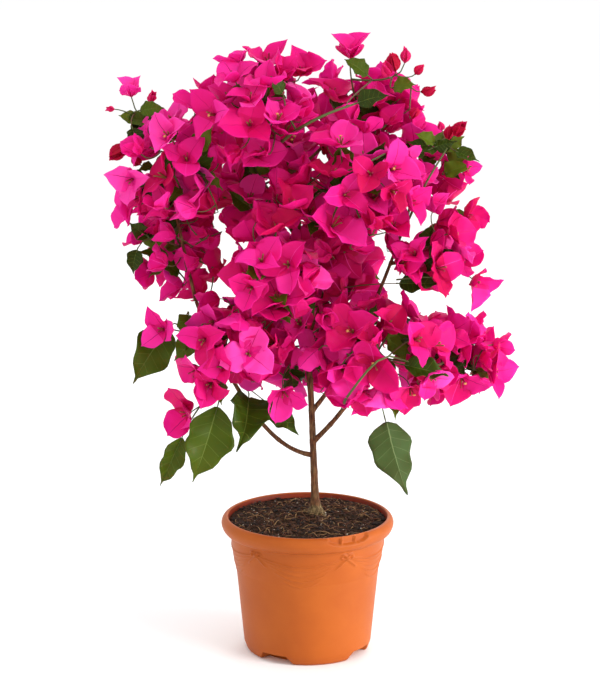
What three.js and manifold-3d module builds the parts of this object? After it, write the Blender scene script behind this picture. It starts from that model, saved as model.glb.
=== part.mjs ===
// A bougainvillea bush in its nursery pot: one slender stem that forks into boughs, and masses of
// three-bracted magenta blooms and green leaves on their tips. Millimetres, +Z up. The origin is the
// middle of the pot's flat underside, and -Y is the side that the bush is turned to.
import * as THREE from "three";
import { mergeVertices } from "three/addons/utils/BufferGeometryUtils.js";
import Module from "manifold-3d";

const wasm = await Module();
wasm.setup();

const GAP = 0.3; // clearance where two pieces meet
const TURN = 2 * Math.PI;

// ---- driving dimensions ------------------------------------------------------------------------

const POT = {
  height: 136,
  rimRadius: 85, // the widest ring of the rolled rim
  mouthRadius: 78.5, // inner edge of the rim
  rimDepth: 12, // from the mouth down to the rim's lower edge
  neckRadius: 76, // the wall under the rim
  neckHeight: 116,
  shoulderHeight: 96, // foot of the slightly wider upper band
  shoulderRadius: 73.2,
  waistHeight: 87,
  waistRadius: 70.6,
  heelHeight: 9, // where the wall turns in towards the base
  heelRadius: 63,
  baseRadius: 58.5,
  wall: 2,
  floor: 4,
  sides: 40,
};
const GRIP = { angle: 29, width: 34, depth: 8, ribs: 3 }; // label slot in the rim, degrees round from -Y
const VENT = { angle: -32, width: 38, height: 9, depth: 11, count: 4 }; // notches in the base ring
const SOIL = { edgeHeight: 130, topHeight: 138, crownRadius: 14 };

// A bloom is three bracts round a hub. Sizes are shares of the bract's length.
const BRACT = { length: 36, halfWidth: 0.41, shoulder: 0.42, middle: 0.36, cup: 0.1, thickness: 0.036 };
const HUB = { radius: 1.7, height: 1.5 };
const LEAF = { length: 34, halfWidth: 0.29, middle: 0.42, fold: 0.1, thickness: 0.04 };
const BUD = { length: 14, halfWidth: 0.27, middle: 0.45, fold: 0, thickness: 0.5 };
const TWIG = { stemRadius: 1.3, radius: 0.9, rootRadius: 0.4, sink: 1.2, shortest: 6, longest: 40 };
const CLEAR_OF_LIMBS = 4.5; // blooms and leaves keep this far from the bark of a trunk or bough
const TWIG_CLEAR = 3; // and twigs this far
const BARK_STEP = 4; // the bark is measured to at places this far apart
const CELL_MARGIN = 0.5; // what a mass carries stays this far inside its own space
const ROOM = 24; // the least distance from bloom to bloom in a mass
const APART = { blades: 4, twigs: 2.5 }; // how far a bloom or leaf keeps from the others and from twigs
const CANDIDATES = 700; // places drawn for each bloom: the one farthest from the others that fits is kept
const TRIES = 8; // turns that a leaf is given to fit, before it is skipped

// The trunk runs up through the crown. Each other limb leaves its parent at a share of its length,
// and its middle sags below the straight line by a share of its own length.
const TRUNK = {
  foot: SOIL.topHeight + GAP,
  through: [
    [8.3, 0, SOIL.topHeight - 4],
    [5.5, 0, 205],
    [3, 2, 262],
    [-5, 8, 350],
    [-10, 6, 440],
    [-24, 0, 515],
  ],
  radii: [3.6, 1.6],
  flare: { radius: 5.2, height: 11 },
  sides: 10,
  steps: 14,
};
const MAIN_BOUGHS = {
  bough_left: { from: "trunk", at: 0.165, to: [-108, -2, 352], sag: 0.19, radii: [2.2, 1.7] },
  bough_left_up: { from: "bough_left", at: 1, to: [-130, 6, 452], sag: 0.02, radii: [1.6, 1.3] },
  bough_right: { from: "trunk", at: 0.2, to: [60, -8, 284], sag: 0.06, radii: [2.4, 2.0] },
  bough_right_out: { from: "bough_right", at: 1, to: [118, -12, 292], sag: -0.1, radii: [1.9, 1.4] },
  bough_right_up: { from: "trunk", at: 0.28, to: [94, 8, 427], sag: 0.1, radii: [2.2, 1.4] },
};
// The short bough that each mass has of its own. It ends short of the mass's middle.
const TWIG_BOUGH = { radii: [1.7, 1.2], sag: 0.06, steps: 3, stopShort: 0.6 };

const CROWN = { at: [0, 0, 400], reach: [200, 105, 210] };

// Each mass: where its middle is, how far it reaches along X, Y and Z, how many blooms and leaves it
// is given, and the limb that its own bough leaves, at a share of the limb's length. At a share of 1
// the mass grows straight on from the limb's tip. The masses stand by turns to the front and back.
const MASSES = {
  crown_left: { seed: 11, at: [-50, -42, 544], reach: [70, 62, 60], bears: [13, 3], on: ["trunk", 1] },
  crown_right: { seed: 12, at: [51, 42, 534], reach: [72, 62, 54], bears: [13, 4], on: ["trunk", 0.9] },
  shoulder_left: {
    seed: 13, at: [-127, -28, 502], reach: [68, 58, 72], bears: [10, 6], on: ["bough_left_up", 1],
  },
  upper_left: {
    seed: 14, at: [-48, 46, 468], reach: [82, 64, 72], bears: [14, 3], on: ["trunk", 0.72],
  },
  upper_right: {
    seed: 15, at: [42, -46, 470], reach: [82, 64, 70], bears: [14, 3], on: ["trunk", 0.8],
  },
  shoot_right: {
    seed: 16, at: [108, 26, 484], reach: [54, 56, 58], bears: [7, 7], on: ["bough_right_up", 1],
  },
  flank_left: {
    seed: 27, at: [-126, 30, 404], reach: [58, 60, 66], bears: [10, 4], on: ["bough_left_up", 0.3],
  },
  heart: { seed: 18, at: [-32, -46, 394], reach: [60, 64, 72], bears: [14, 3], on: ["trunk", 0.56] },
  middle: { seed: 19, at: [25, 46, 378], reach: [62, 64, 74], bears: [13, 4], on: ["trunk", 0.46] },
  flank_right: {
    seed: 20, at: [118, -32, 412], reach: [52, 60, 60], bears: [10, 3], on: ["bough_right_up", 0.8],
  },
  lower_left: {
    seed: 21, at: [-78, -40, 316], reach: [70, 62, 58], bears: [11, 2], on: ["bough_left", 0.7],
  },
  lower_middle: {
    seed: 22, at: [-4, 44, 306], reach: [82, 64, 66], bears: [14, 4], on: ["trunk", 0.34],
  },
  lower_right: {
    seed: 23, at: [68, -46, 314], reach: [82, 64, 64], bears: [15, 3], on: ["bough_right", 0.8],
  },
  far_right: {
    seed: 34, at: [138, 16, 294], reach: [66, 60, 52], bears: [12, 3], on: ["bough_right_out", 1],
  },
};

// Twigs to set places: the crown's furthest tips, and the big leaves that hang below it. Facing is the
// way that a bloom, leaf or bud points, and size is a share of the usual one.
const SPRIGS = {
  crown_left: [
    { kind: "bloom", at: [-37, -22, 584], facing: [-0.1, -0.4, 1], size: 0.9 },
    { kind: "bloom", at: [-7, -24, 574], facing: [0.1, -0.5, 0.9], size: 0.9, opening: 42 },
  ],
  crown_right: [
    { kind: "bloom", at: [40, -4, 588], facing: [0, -0.35, 1], size: 0.88, opening: 42 },
    { kind: "bud", at: [92, -4, 584], facing: [0.1, -0.2, 1], size: 1.1 },
    { kind: "bud", at: [76, -8, 572], facing: [-0.2, -0.5, 0.8], size: 1.3 },
  ],
  shoulder_left: [
    { kind: "bloom", at: [-168, -4, 552], facing: [-0.1, -0.4, 0.9], size: 0.62, opening: 34 },
    { kind: "leaf", at: [-158, -10, 540], facing: [-0.1, -0.6, -0.7], size: 1.1 },
    { kind: "bud", at: [-172, -8, 506], facing: [-0.6, -0.5, -0.5], size: 1.7 },
    { kind: "bloom", at: [-158, -26, 459], facing: [-0.9, -0.5, -0.1], size: 0.85 },
  ],
  shoot_right: [
    { kind: "bud", at: [134, 6, 508], facing: [0.2, -0.2, 1], size: 1.2 },
    { kind: "bloom", at: [148, 4, 480], facing: [0.8, -0.4, 0.1], size: 0.6 },
  ],
  flank_left: [{ kind: "leaf", at: [-164, 2, 404], facing: [-0.3, -0.3, -0.9], size: 0.8 }],
  flank_right: [
    { kind: "bloom", at: [150, -12, 440], facing: [0.7, -0.7, 0], size: 0.7 },
    { kind: "bloom", at: [158, -20, 378], facing: [0.6, -0.7, -0.4], size: 0.9 },
  ],
  lower_left: [
    { kind: "bloom", at: [-138, -36, 332], facing: [-0.5, -0.8, 0.1], size: 0.75 },
    { kind: "bloom", at: [-114, -14, 244], facing: [-0.7, -0.7, -0.1], size: 0.95 },
    { kind: "leaf", at: [-131, -16, 332], facing: [-0.62, -0.3, -0.76], size: 2 },
    { kind: "leaf", at: [-114, -34, 348], facing: [0.05, -0.9, -0.45], size: 1.4 },
    { kind: "leaf", at: [-85, -44, 264], facing: [-0.28, -0.15, -1], size: 2.5 },
    { kind: "leaf", at: [-121, -2, 220], facing: [-0.4, 0.1, -0.92], size: 1.9, narrow: 0.62 },
    { kind: "leaf", at: [-57, -18, 264], facing: [0, -0.88, -0.42], size: 2.3 },
  ],
  lower_right: [
    { kind: "leaf", at: [74, -34, 246], facing: [0.24, -0.2, -0.96], size: 2.35 },
    { kind: "leaf", at: [88, -70, 306], facing: [1, -0.2, -0.16], size: 1.4 },
  ],
  far_right: [
    { kind: "bloom", at: [176, 4, 280], facing: [0.8, -0.5, 0.1], size: 0.95 },
    { kind: "bloom", at: [150, 0, 276], facing: [0.1, -0.7, -0.5], size: 0.85 },
  ],
};

// ---- small helpers -----------------------------------------------------------------------------

const vector = (xyz) => new THREE.Vector3(...xyz);
const degrees = (angle) => (angle * Math.PI) / 180;
const mix = (a, b, t) => a + (b - a) * t;

// A seeded stream of numbers from 0 to 1.
function random(seed) {
  let state = seed >>> 0;
  return () => {
    state = (state + 0x6d2b79f5) >>> 0;
    let t = Math.imul(state ^ (state >>> 15), state | 1);
    t ^= t + Math.imul(t ^ (t >>> 7), t | 61);
    return ((t ^ (t >>> 14)) >>> 0) / 4294967296;
  };
}

function solidOf(geometry) {
  const bare = new THREE.BufferGeometry();
  bare.setAttribute("position", geometry.getAttribute("position"));
  bare.setIndex(geometry.index);
  const merged = mergeVertices(bare, 1e-4);
  return new wasm.Manifold(
    new wasm.Mesh({
      numProp: 3,
      vertProperties: merged.attributes.position.array,
      triVerts: new Uint32Array(merged.index.array),
    }),
  );
}

// The places by which a blade's room is judged: its corners, and the middles of the triangles that
// fan out from its middle, and of their outer edges.
function spotsOf(points, fan) {
  const between = (corners) =>
    corners.reduce((sum, k) => sum.add(points[k]), new THREE.Vector3()).divideScalar(corners.length);
  return [...points, ...fan.flatMap((corners) => [between(corners), between(corners.slice(1))])];
}

function solidFrom(points, triangles) {
  const geometry = new THREE.BufferGeometry().setFromPoints(points);
  geometry.setIndex(triangles.flat());
  return solidOf(geometry);
}

// The largest piece of a solid, with its sealed hollows filled and loose scraps dropped.
function wholeOf(solid) {
  return solid.decompose().reduce((best, piece) => (piece.volume() > best.volume() ? piece : best));
}

function geometryOf(solid) {
  const mesh = solid.getMesh();
  const geometry = new THREE.BufferGeometry();
  geometry.setAttribute("position", new THREE.BufferAttribute(mesh.vertProperties, 3));
  geometry.setIndex(new THREE.BufferAttribute(mesh.triVerts, 1));
  geometry.computeVertexNormals();
  return geometry;
}

// A tapering tube round a curve with flat ends. radiusAt(t) gives its radius.
function tube(curve, radiusAt, sides, steps) {
  const frames = curve.computeFrenetFrames(steps, false);
  const points = [];
  for (let i = 0; i <= steps; i++) {
    const centre = curve.getPointAt(i / steps);
    for (let k = 0; k < sides; k++) {
      const angle = (k / sides) * TURN;
      const out = frames.normals[i]
        .clone()
        .multiplyScalar(Math.cos(angle))
        .addScaledVector(frames.binormals[i], Math.sin(angle));
      points.push(out.multiplyScalar(radiusAt(i / steps)).add(centre));
    }
  }
  const triangles = [];
  for (let i = 0; i < steps; i++) {
    for (let k = 0; k < sides; k++) {
      const a = i * sides + k;
      const b = i * sides + ((k + 1) % sides);
      triangles.push([a, b, b + sides], [a, b + sides, a + sides]);
    }
  }
  const last = steps * sides;
  for (let k = 1; k < sides - 1; k++) {
    triangles.push([0, k + 1, k], [last, last + k, last + k + 1]);
  }
  return solidFrom(points, triangles);
}

// ---- limbs -------------------------------------------------------------------------------------

// A limb's curve from start to tip, its middle sagging below the straight line.
function arc(start, tip, sag) {
  const control = start.clone().lerp(tip, 0.5);
  control.z -= 2 * sag * start.distanceTo(tip);
  return new THREE.QuadraticBezierCurve3(start, control, tip);
}

function growTrunk() {
  const { through, radii, flare, sides, steps } = TRUNK;
  const curve = new THREE.CatmullRomCurve3(through.map(vector), false, "centripetal");
  const length = curve.getLength();
  const radiusAt = (t) =>
    mix(radii[0], radii[1], t) + flare.radius * Math.exp((-t * length) / flare.height);
  return { curve, radiusAt, sides, steps, parent: null, foot: TRUNK.foot };
}

// A bough from its parent limb to a tip. One that follows on from its parent's tip starts clear of
// it, also where it turns away and its flat root leans.
function growBough(limbs, { from, at, to, sag, radii, steps = 6 }) {
  const parent = limbs[from];
  const start = parent.curve.getPointAt(at);
  if (at === 1) {
    const ahead = parent.curve.getTangentAt(1);
    const lean = ahead.angleTo(arc(start, to, sag).getTangentAt(0));
    start.addScaledVector(ahead, GAP + radii[0] * Math.sin(lean));
  }
  const radiusAt = (t) => mix(radii[0], radii[1], t);
  return { curve: arc(start, to, sag), radiusAt, sides: 6, steps, parent: at === 1 ? null : parent };
}

// Where a mass's own bough ends: inside the mass's reach, and short of its middle.
function massTip(mass, start) {
  const middle = vector(mass.at);
  const inside = 0.5 * Math.min(mass.reach[0], mass.reach[2]);
  return middle.clone().lerp(start, Math.min(TWIG_BOUGH.stopShort, inside / middle.distanceTo(start)));
}

// The limb whose tip a mass grows on from.
const carrierOf = (name) => (MASSES[name].on[1] === 1 ? MASSES[name].on[0] : "bough_" + name);

function growLimbs() {
  const limbs = { trunk: growTrunk() };
  for (const [name, bough] of Object.entries(MAIN_BOUGHS)) {
    limbs[name] = growBough(limbs, { ...bough, to: vector(bough.to) });
  }
  for (const [name, mass] of Object.entries(MASSES)) {
    const [from, at] = mass.on;
    if (carrierOf(name) === from) continue;
    const to = massTip(mass, limbs[from].curve.getPointAt(at));
    limbs[carrierOf(name)] = growBough(limbs, { from, at, to, ...TWIG_BOUGH });
  }
  return limbs;
}

// The limb's solid. The trunk is cut flat at its foot. Where a bough leaves its parent's side, its
// root is cut to fit it, a gap clear.
function limbSolid({ curve, radiusAt, sides, steps, parent, foot }) {
  const solid = tube(curve, radiusAt, sides, steps);
  if (foot) {
    const below = new THREE.BoxGeometry(80, 80, 40).translate(0, 0, foot - 20);
    return solid.subtract(solidOf(below));
  }
  if (!parent) return solid;
  const around = tube(parent.curve, (t) => parent.radiusAt(t) + GAP, parent.sides, parent.steps);
  return wholeOf(solid.subtract(around));
}

function barkSamples(limbs) {
  return Object.values(limbs).flatMap(({ curve, radiusAt }) => {
    const count = Math.ceil(curve.getLength() / BARK_STEP);
    return curve.getSpacedPoints(count).map((p, i) => ({ p, radius: radiusAt(i / count) }));
  });
}

// ---- what a twig carries -----------------------------------------------------------------------

// Axes with the third along a direction, turned round it by an angle.
function axesAlong(direction, angle) {
  const n = direction.clone().normalize();
  const helper = Math.abs(n.z) < 0.9 ? new THREE.Vector3(0, 0, 1) : new THREE.Vector3(1, 0, 0);
  const a = new THREE.Vector3().crossVectors(helper, n).normalize();
  const b = new THREE.Vector3().crossVectors(n, a);
  const u = a.clone().multiplyScalar(Math.cos(angle)).addScaledVector(b, Math.sin(angle));
  return { u, v: new THREE.Vector3().crossVectors(n, u), n };
}

// A twig is straight from knot to knot, and a long one has one knot more.
const stepsOf = (twig) => (twig.getLength() > TWIG.longest ? 3 : 2);

// Three bracts on the end of their twig as a single closed shape. Each bract has two shoulders and a
// tip, and its middle is sunk below its edges, so that it is cupped towards the bloom's axis.
function bloom({ twig, facing, turn, size, opening }) {
  const length = BRACT.length * size;
  const place = twig.getPoint(1);
  const { u, v, n } = axesAlong(facing, turn);
  const round = (angle) => u.clone().multiplyScalar(Math.cos(angle)).addScaledVector(v, Math.sin(angle));
  const at = (origin, ...moves) => moves.reduce((p, [way, by]) => p.addScaledVector(way, by), origin.clone());
  const corners = [0, 1, 2];
  const points = corners.map((k) => at(place, [round((k - 0.5) * (TURN / 3)), HUB.radius]));
  points.push(at(place, [n, HUB.height]));
  const fan = [];
  const under = [];
  for (const k of corners) {
    const out = round((k * TURN) / 3);
    const side = new THREE.Vector3().crossVectors(n, out);
    const along = at(new THREE.Vector3(), [out, Math.sin(opening)], [n, Math.cos(opening)]);
    const up = new THREE.Vector3().crossVectors(along, side);
    const shoulder = at(place, [along, length * BRACT.shoulder]);
    const middle = at(place, [along, length * BRACT.middle], [up, -length * BRACT.cup]);
    const first = points.length;
    points.push(
      at(shoulder, [side, -length * BRACT.halfWidth]),
      at(place, [along, length]),
      at(shoulder, [side, length * BRACT.halfWidth]),
      at(middle, [up, (length * BRACT.thickness) / 2]),
      at(middle, [up, (-length * BRACT.thickness) / 2]),
    );
    const outer = [k, first, first + 1, first + 2, (k + 1) % 3];
    const inner = [3, ...outer];
    inner.forEach((p, i) => fan.push([first + 3, p, inner[(i + 1) % 6]]));
    outer.forEach((p, i) => under.push([first + 4, outer[(i + 1) % 5], p]));
  }
  const spots = spotsOf(points, fan);
  const triangles = [...fan, ...under];

  // The twig's rings run back from the hub's own three corners to its root.
  let ring = corners;
  let across = u;
  for (let step = stepsOf(twig) - 1; step >= 0; step--) {
    const ahead = twig.getTangentAt(step / stepsOf(twig));
    across = across.clone().addScaledVector(ahead, -across.dot(ahead)).normalize();
    const beside = new THREE.Vector3().crossVectors(ahead, across);
    const centre = twig.getPointAt(step / stepsOf(twig));
    const next = corners.map((k) => points.length + k);
    for (const k of corners) {
      const angle = (k - 0.5) * (TURN / 3);
      const radius = step ? TWIG.radius : TWIG.rootRadius;
      points.push(at(centre, [across, radius * Math.cos(angle)], [beside, radius * Math.sin(angle)]));
    }
    for (const k of corners) {
      const [a, b] = [ring[k], ring[(k + 1) % 3]];
      const [c, d] = [next[k], next[(k + 1) % 3]];
      triangles.push([a, c, d], [a, d, b]);
    }
    ring = next;
  }
  triangles.push([ring[0], ring[2], ring[1]]);
  return { points, triangles, spots };
}

// A closed eight-sided blade from root to tip, folded up along its midrib. Leaves and buds use it.
function blade({ place, facing, normal, length, halfWidth, middle, fold, thickness }) {
  const along = facing.clone().normalize();
  const side = new THREE.Vector3().crossVectors(normal, along).normalize();
  const up = new THREE.Vector3().crossVectors(along, side);
  const root = place.clone().addScaledVector(along, -TWIG.sink);
  const heart = place.clone().addScaledVector(along, length * middle);
  const edge = heart.clone().addScaledVector(up, length * fold);
  const points = [
    root,
    edge.clone().addScaledVector(side, -length * halfWidth),
    place.clone().addScaledVector(along, length),
    edge.clone().addScaledVector(side, length * halfWidth),
    heart.clone().addScaledVector(up, (length * thickness) / 2),
    heart.clone().addScaledVector(up, (-length * thickness) / 2),
  ];
  const fan = [0, 1, 2, 3].map((k) => [4, k, (k + 1) % 4]);
  const under = fan.map(([, a, b]) => [5, b, a]);
  return { points, triangles: [...fan, ...under], spots: spotsOf(points, fan).slice(1) };
}

// ---- masses ------------------------------------------------------------------------------------

// The spaces are cut apart by planes, each nearer to the smaller of two masses.
function wallsOf(name) {
  const own = MASSES[name];
  const size = (mass) => (mass.reach[0] + mass.reach[2]) / 2;
  return Object.entries(MASSES)
    .filter(([other]) => other !== name)
    .map(([, other]) => {
      const between = vector(other.at).sub(vector(own.at));
      const apart = between.length();
      const share = (apart ** 2 + size(own) ** 2 - size(other) ** 2) / (2 * apart);
      return { normal: between.divideScalar(apart), offset: share - CELL_MARGIN };
    });
}

// On the mass's own side of the planes, and within its reach times a stretch.
function inSpace(mass, p, stretch = 1) {
  const local = p.clone().sub(vector(mass.at));
  if (mass.walls.some(({ normal, offset }) => normal.dot(local) > offset)) return false;
  const [x, y, z] = mass.reach.map((reach, i) => local.getComponent(i) / (reach * stretch));
  return x * x + y * y + z * z <= 1;
}

// Places along a line of straight stretches.
function alongLine(knots) {
  return knots.slice(1).flatMap((knot, i) => {
    const count = Math.ceil(knot.distanceTo(knots[i]) / BARK_STEP);
    return Array.from({ length: count }, (_, k) => knots[i].clone().lerp(knot, (k + 1) / count));
  });
}

function touchesBark(bark, p, spare) {
  return bark.some((b) => b.p.distanceTo(p) < b.radius + spare);
}

// A place drawn evenly from a mass's reach.
function placeIn(mass, draw) {
  const z = mix(-1, 1, draw());
  const angle = draw() * TURN;
  const r = Math.cbrt(draw());
  const flat = r * Math.sqrt(1 - z * z);
  const local = [flat * Math.cos(angle), flat * Math.sin(angle), r * z];
  return vector(local.map((share, i) => mass.at[i] + mass.reach[i] * share));
}

// Outward from the middles of the crown and of the mass, with a little upward turn.
function outward(mass, p, draw) {
  const share = (from, reach) => vector(reach.map((r, i) => (p.getComponent(i) - from[i]) / r));
  const way = share(mass.at, mass.reach).multiplyScalar(0.6).add(share(CROWN.at, CROWN.reach));
  way.z += 0.3;
  return way.add(vector([draw() - 0.5, draw() - 0.5, draw() - 0.5]).multiplyScalar(0.9)).normalize();
}

// What a twig carries, as points and triangles. A bloom's holds its twig as well.
function carried(kind, { twig, facing, size, turn = 0, opening = 55, narrow = 1 }) {
  if (kind === "bloom") return bloom({ twig, facing, turn, size, opening: degrees(opening) });
  const { length, halfWidth, ...form } = kind === "leaf" ? LEAF : BUD;
  const normal = vector([0.2 * Math.cos(turn), -0.6, 0.6 * Math.sin(turn) + 0.4]);
  const sizes = { length: length * size, halfWidth: halfWidth * narrow };
  return blade({ ...form, ...sizes, place: twig.getPoint(1), facing, normal });
}

// A mass as it grows: its solid parts, the forks that new twigs may leave, the places of its blooms,
// and the room that its blades and its wood take up.
function startMass(name, limbs, bark) {
  const limb = limbs[carrierOf(name)];
  const lead = limb.curve.getTangentAt(1);
  const root = limb.curve.getPointAt(1).addScaledVector(lead, GAP);
  const heart = vector(MASSES[name].at);
  const bend = root.clone().addScaledVector(lead, 0.4 * root.distanceTo(heart));
  const stem = new THREE.QuadraticBezierCurve3(root, bend, heart);
  return {
    ...MASSES[name],
    walls: wallsOf(name),
    bark,
    parts: [tube(stem, (t) => mix(TWIG.stemRadius, TWIG.radius, t), 5, 3)],
    forks: [1 / 3, 2 / 3, 0.95].map((t) => ({ p: stem.getPointAt(t), reach: 0 })),
    sites: [stem.getPointAt(0.5)],
    wood: stem.getSpacedPoints(8),
    blades: [],
  };
}

const near = (others, p, spare) => others.some((q) => q.distanceTo(p) < spare);

// Inside the mass's space and off the bark. A sprig may pass the mass's reach, at stretch Infinity.
function isClear(mass, p, spare, stretch) {
  return inSpace(mass, p, stretch) && !touchesBark(mass.bark, p, spare);
}

function hasRoom(mass, shape, stretch) {
  return shape.spots.every(
    (p) =>
      isClear(mass, p, CLEAR_OF_LIMBS, stretch) &&
      !near(mass.blades, p, APART.blades) &&
      !near(mass.wood, p, APART.twigs),
  );
}

// A twig from the handiest fork to a place, where it arrives from behind what it will carry.
function twigTo(mass, at, facing, stretch) {
  const cost = (fork) => fork.p.distanceTo(at) + 0.25 * fork.reach;
  const fork = mass.forks.reduce((best, f) => (cost(f) < cost(best) ? f : best));
  const length = fork.p.distanceTo(at);
  const behind = at.clone().addScaledVector(facing, -0.4 * length);
  const curve = new THREE.QuadraticBezierCurve3(fork.p, behind, at);
  const knots = curve.getSpacedPoints(stepsOf(curve));
  const along = alongLine(knots).slice(1);
  const isFree = (p) => isClear(mass, p, TWIG_CLEAR, stretch) && !near(mass.blades, p, APART.twigs);
  if (length < TWIG.shortest || !along.every(isFree)) return null;
  return { curve, knots, along, reach: fork.reach + length / 2 };
}

// Grows a twig with what it carries, or returns false where there is no room for them.
function growSprig(mass, kind, { at, facing, ...looks }, stretch) {
  const twig = twigTo(mass, at, facing, stretch);
  const shape = twig && carried(kind, { ...looks, twig: twig.curve, facing });
  if (!twig || !hasRoom(mass, shape, stretch)) return false;
  if (kind !== "bloom") mass.parts.push(tube(twig.curve, () => TWIG.radius, 3, stepsOf(twig.curve)));
  mass.parts.push(solidFrom(shape.points, shape.triangles));
  mass.forks.push(...twig.knots.slice(1, -1).map((p) => ({ p, reach: twig.reach })));
  mass.sites.push(at);
  mass.blades.push(...shape.spots);
  mass.wood.push(...twig.along);
  return true;
}

// Grows a bloom at the place farthest from the mass's other blooms where one fits.
function growBloom(mass, own) {
  const room = (at) => Math.min(...mass.sites.map((site) => site.distanceTo(at)));
  const places = Array.from({ length: CANDIDATES }, () => placeIn(mass, own))
    .map((at) => ({ at, room: room(at) }))
    .filter((place) => place.room > ROOM)
    .sort((a, b) => b.room - a.room);
  places.some(({ at }) => {
    const facing = outward(mass, at, own);
    const looks = { turn: own() * TURN, size: mix(0.82, 1.12, own()), opening: mix(42, 72, own()) };
    return growSprig(mass, "bloom", { at, facing, ...looks });
  });
}

// Grows a leaf straight from a fork, in the first of a few directions that has room.
function growLeaf(mass, own) {
  const fork = mass.forks[Math.floor(own() * mass.forks.length)];
  const root = { getPoint: () => fork.p };
  for (let turn = 0; turn < TRIES; turn++) {
    const facing = outward(mass, fork.p, own);
    const shape = carried("leaf", { twig: root, facing, size: mix(0.7, 1.2, own()), turn: own() * TURN });
    const isFree = (p) => isClear(mass, p, CLEAR_OF_LIMBS) && !near(mass.blades, p, APART.blades);
    if (!shape.spots.every(isFree)) continue;
    mass.parts.push(solidFrom(shape.points, shape.triangles));
    mass.blades.push(...shape.spots);
    return;
  }
}

// Each bloom and leaf has a stream of numbers of its own.
function growMass(name, limbs, bark) {
  const mass = startMass(name, limbs, bark);
  for (const { kind, at, facing, ...looks } of SPRIGS[name] ?? []) {
    const set = { at: vector(at), facing: vector(facing).normalize(), ...looks };
    growSprig(mass, kind, set, Infinity);
  }
  const [blooms, leaves] = mass.bears;
  for (let index = 0; index < blooms; index++) growBloom(mass, random(mass.seed * 1000 + index));
  for (let index = 0; index < leaves; index++) growLeaf(mass, random(mass.seed * 1000 + 500 + index));
  return wholeOf(mass.parts.reduce((all, part) => all.add(part)));
}

// ---- pot and soil ------------------------------------------------------------------------------

function potProfile() {
  const top = POT.height;
  const under = top - POT.rimDepth;
  const inner = POT.wall;
  const outside = [
    [0, 0],
    [POT.baseRadius, 0],
    [POT.baseRadius + 2.2, 2],
    [POT.heelRadius, POT.heelHeight],
    [POT.waistRadius, POT.waistHeight],
    [POT.shoulderRadius, POT.shoulderHeight],
    [POT.neckRadius, POT.neckHeight],
    [POT.rimRadius - 1.4, under],
  ];
  const rim = [
    [POT.rimRadius, top - 7],
    [POT.rimRadius - 1.2, top - 3],
    [POT.mouthRadius + 2.4, top],
    [POT.mouthRadius + 0.6, top],
    [POT.mouthRadius, top - 1.2],
  ];
  const inside = [
    [POT.neckRadius - inner, POT.neckHeight],
    [POT.waistRadius - inner, POT.waistHeight],
    [POT.heelRadius - inner, POT.heelHeight],
    [POT.baseRadius - inner, POT.floor],
    [0, POT.floor],
  ];
  return { outside, rim, inside };
}

function lathe(profile, sides) {
  const shape = profile.map(([r, z]) => new THREE.Vector2(r, z));
  const turned = new THREE.LatheGeometry(shape, sides);
  turned.rotateX(Math.PI / 2); // the lathe turns about Y, and the pot stands along Z
  return solidOf(turned);
}

// A wedge of a ring: between two radii, two heights and two angles, degrees round from -Y.
function sector(inner, outer, low, high, angle, width, taper = 0) {
  const steps = 4;
  const points = [];
  for (let i = 0; i <= steps; i++) {
    for (const [radius, z, spread] of [
      [inner, low, 1],
      [outer, low, 1],
      [outer, high, 1 - taper],
      [inner, high, 1 - taper],
    ]) {
      const a = degrees(angle + (i / steps - 0.5) * width * spread);
      points.push(vector([radius * Math.sin(a), -radius * Math.cos(a), z]));
    }
  }
  const triangles = [[0, 1, 2], [0, 2, 3]];
  const last = steps * 4;
  triangles.push([last, last + 2, last + 1], [last, last + 3, last + 2]);
  for (let i = 0; i < steps; i++) {
    for (let k = 0; k < 4; k++) {
      const a = i * 4 + k;
      const b = i * 4 + ((k + 1) % 4);
      triangles.push([a, a + 4, b + 4], [a, b + 4, b]);
    }
  }
  return solidFrom(points, triangles);
}

function makePot() {
  const { outside, rim, inside } = potProfile();
  let pot = lathe([...outside, ...rim, ...inside], POT.sides);
  const top = POT.height;
  const shelf = POT.mouthRadius + 1.6;
  pot = pot.subtract(sector(shelf, 90, top - GRIP.depth, top + 5, GRIP.angle, GRIP.width));
  for (let k = 0; k < GRIP.ribs; k++) {
    const angle = GRIP.angle + ((k + 1) / (GRIP.ribs + 1) - 0.5) * GRIP.width;
    pot = pot.add(sector(shelf - 1, POT.rimRadius - 2.4, top - GRIP.depth - 1, top - 2.5, angle, 1.2));
  }
  for (let k = 0; k < VENT.count; k++) {
    const angle = VENT.angle + (k * 360) / VENT.count;
    const { width, height, depth } = VENT;
    pot = pot.subtract(sector(POT.baseRadius - depth, 80, -1, height, angle, width, 0.35));
  }
  return pot;
}

// The soil fills the pot to just under the rim, and is heaped a little round the trunk.
function makeSoil() {
  const inner = POT.wall + GAP;
  const neck = POT.neckRadius - inner;
  return lathe(
    [
      [0, POT.floor + GAP],
      [POT.baseRadius - inner, POT.floor + GAP],
      [POT.heelRadius - inner, POT.heelHeight],
      [POT.waistRadius - inner, POT.waistHeight],
      [neck, POT.neckHeight],
      [neck, SOIL.edgeHeight],
      [SOIL.crownRadius, SOIL.topHeight],
      [0, SOIL.topHeight],
    ],
    POT.sides,
  );
}

// ---- the bush ----------------------------------------------------------------------------------

const COLOURS = {
  pot: { color: 0xd56a31, roughness: 0.55 },
  soil: { color: 0x39261a, roughness: 0.95 },
  bark: { color: 0x6b4a30, roughness: 0.8 },
  blossom: { color: 0xd71c69, roughness: 0.6 },
};

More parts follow.
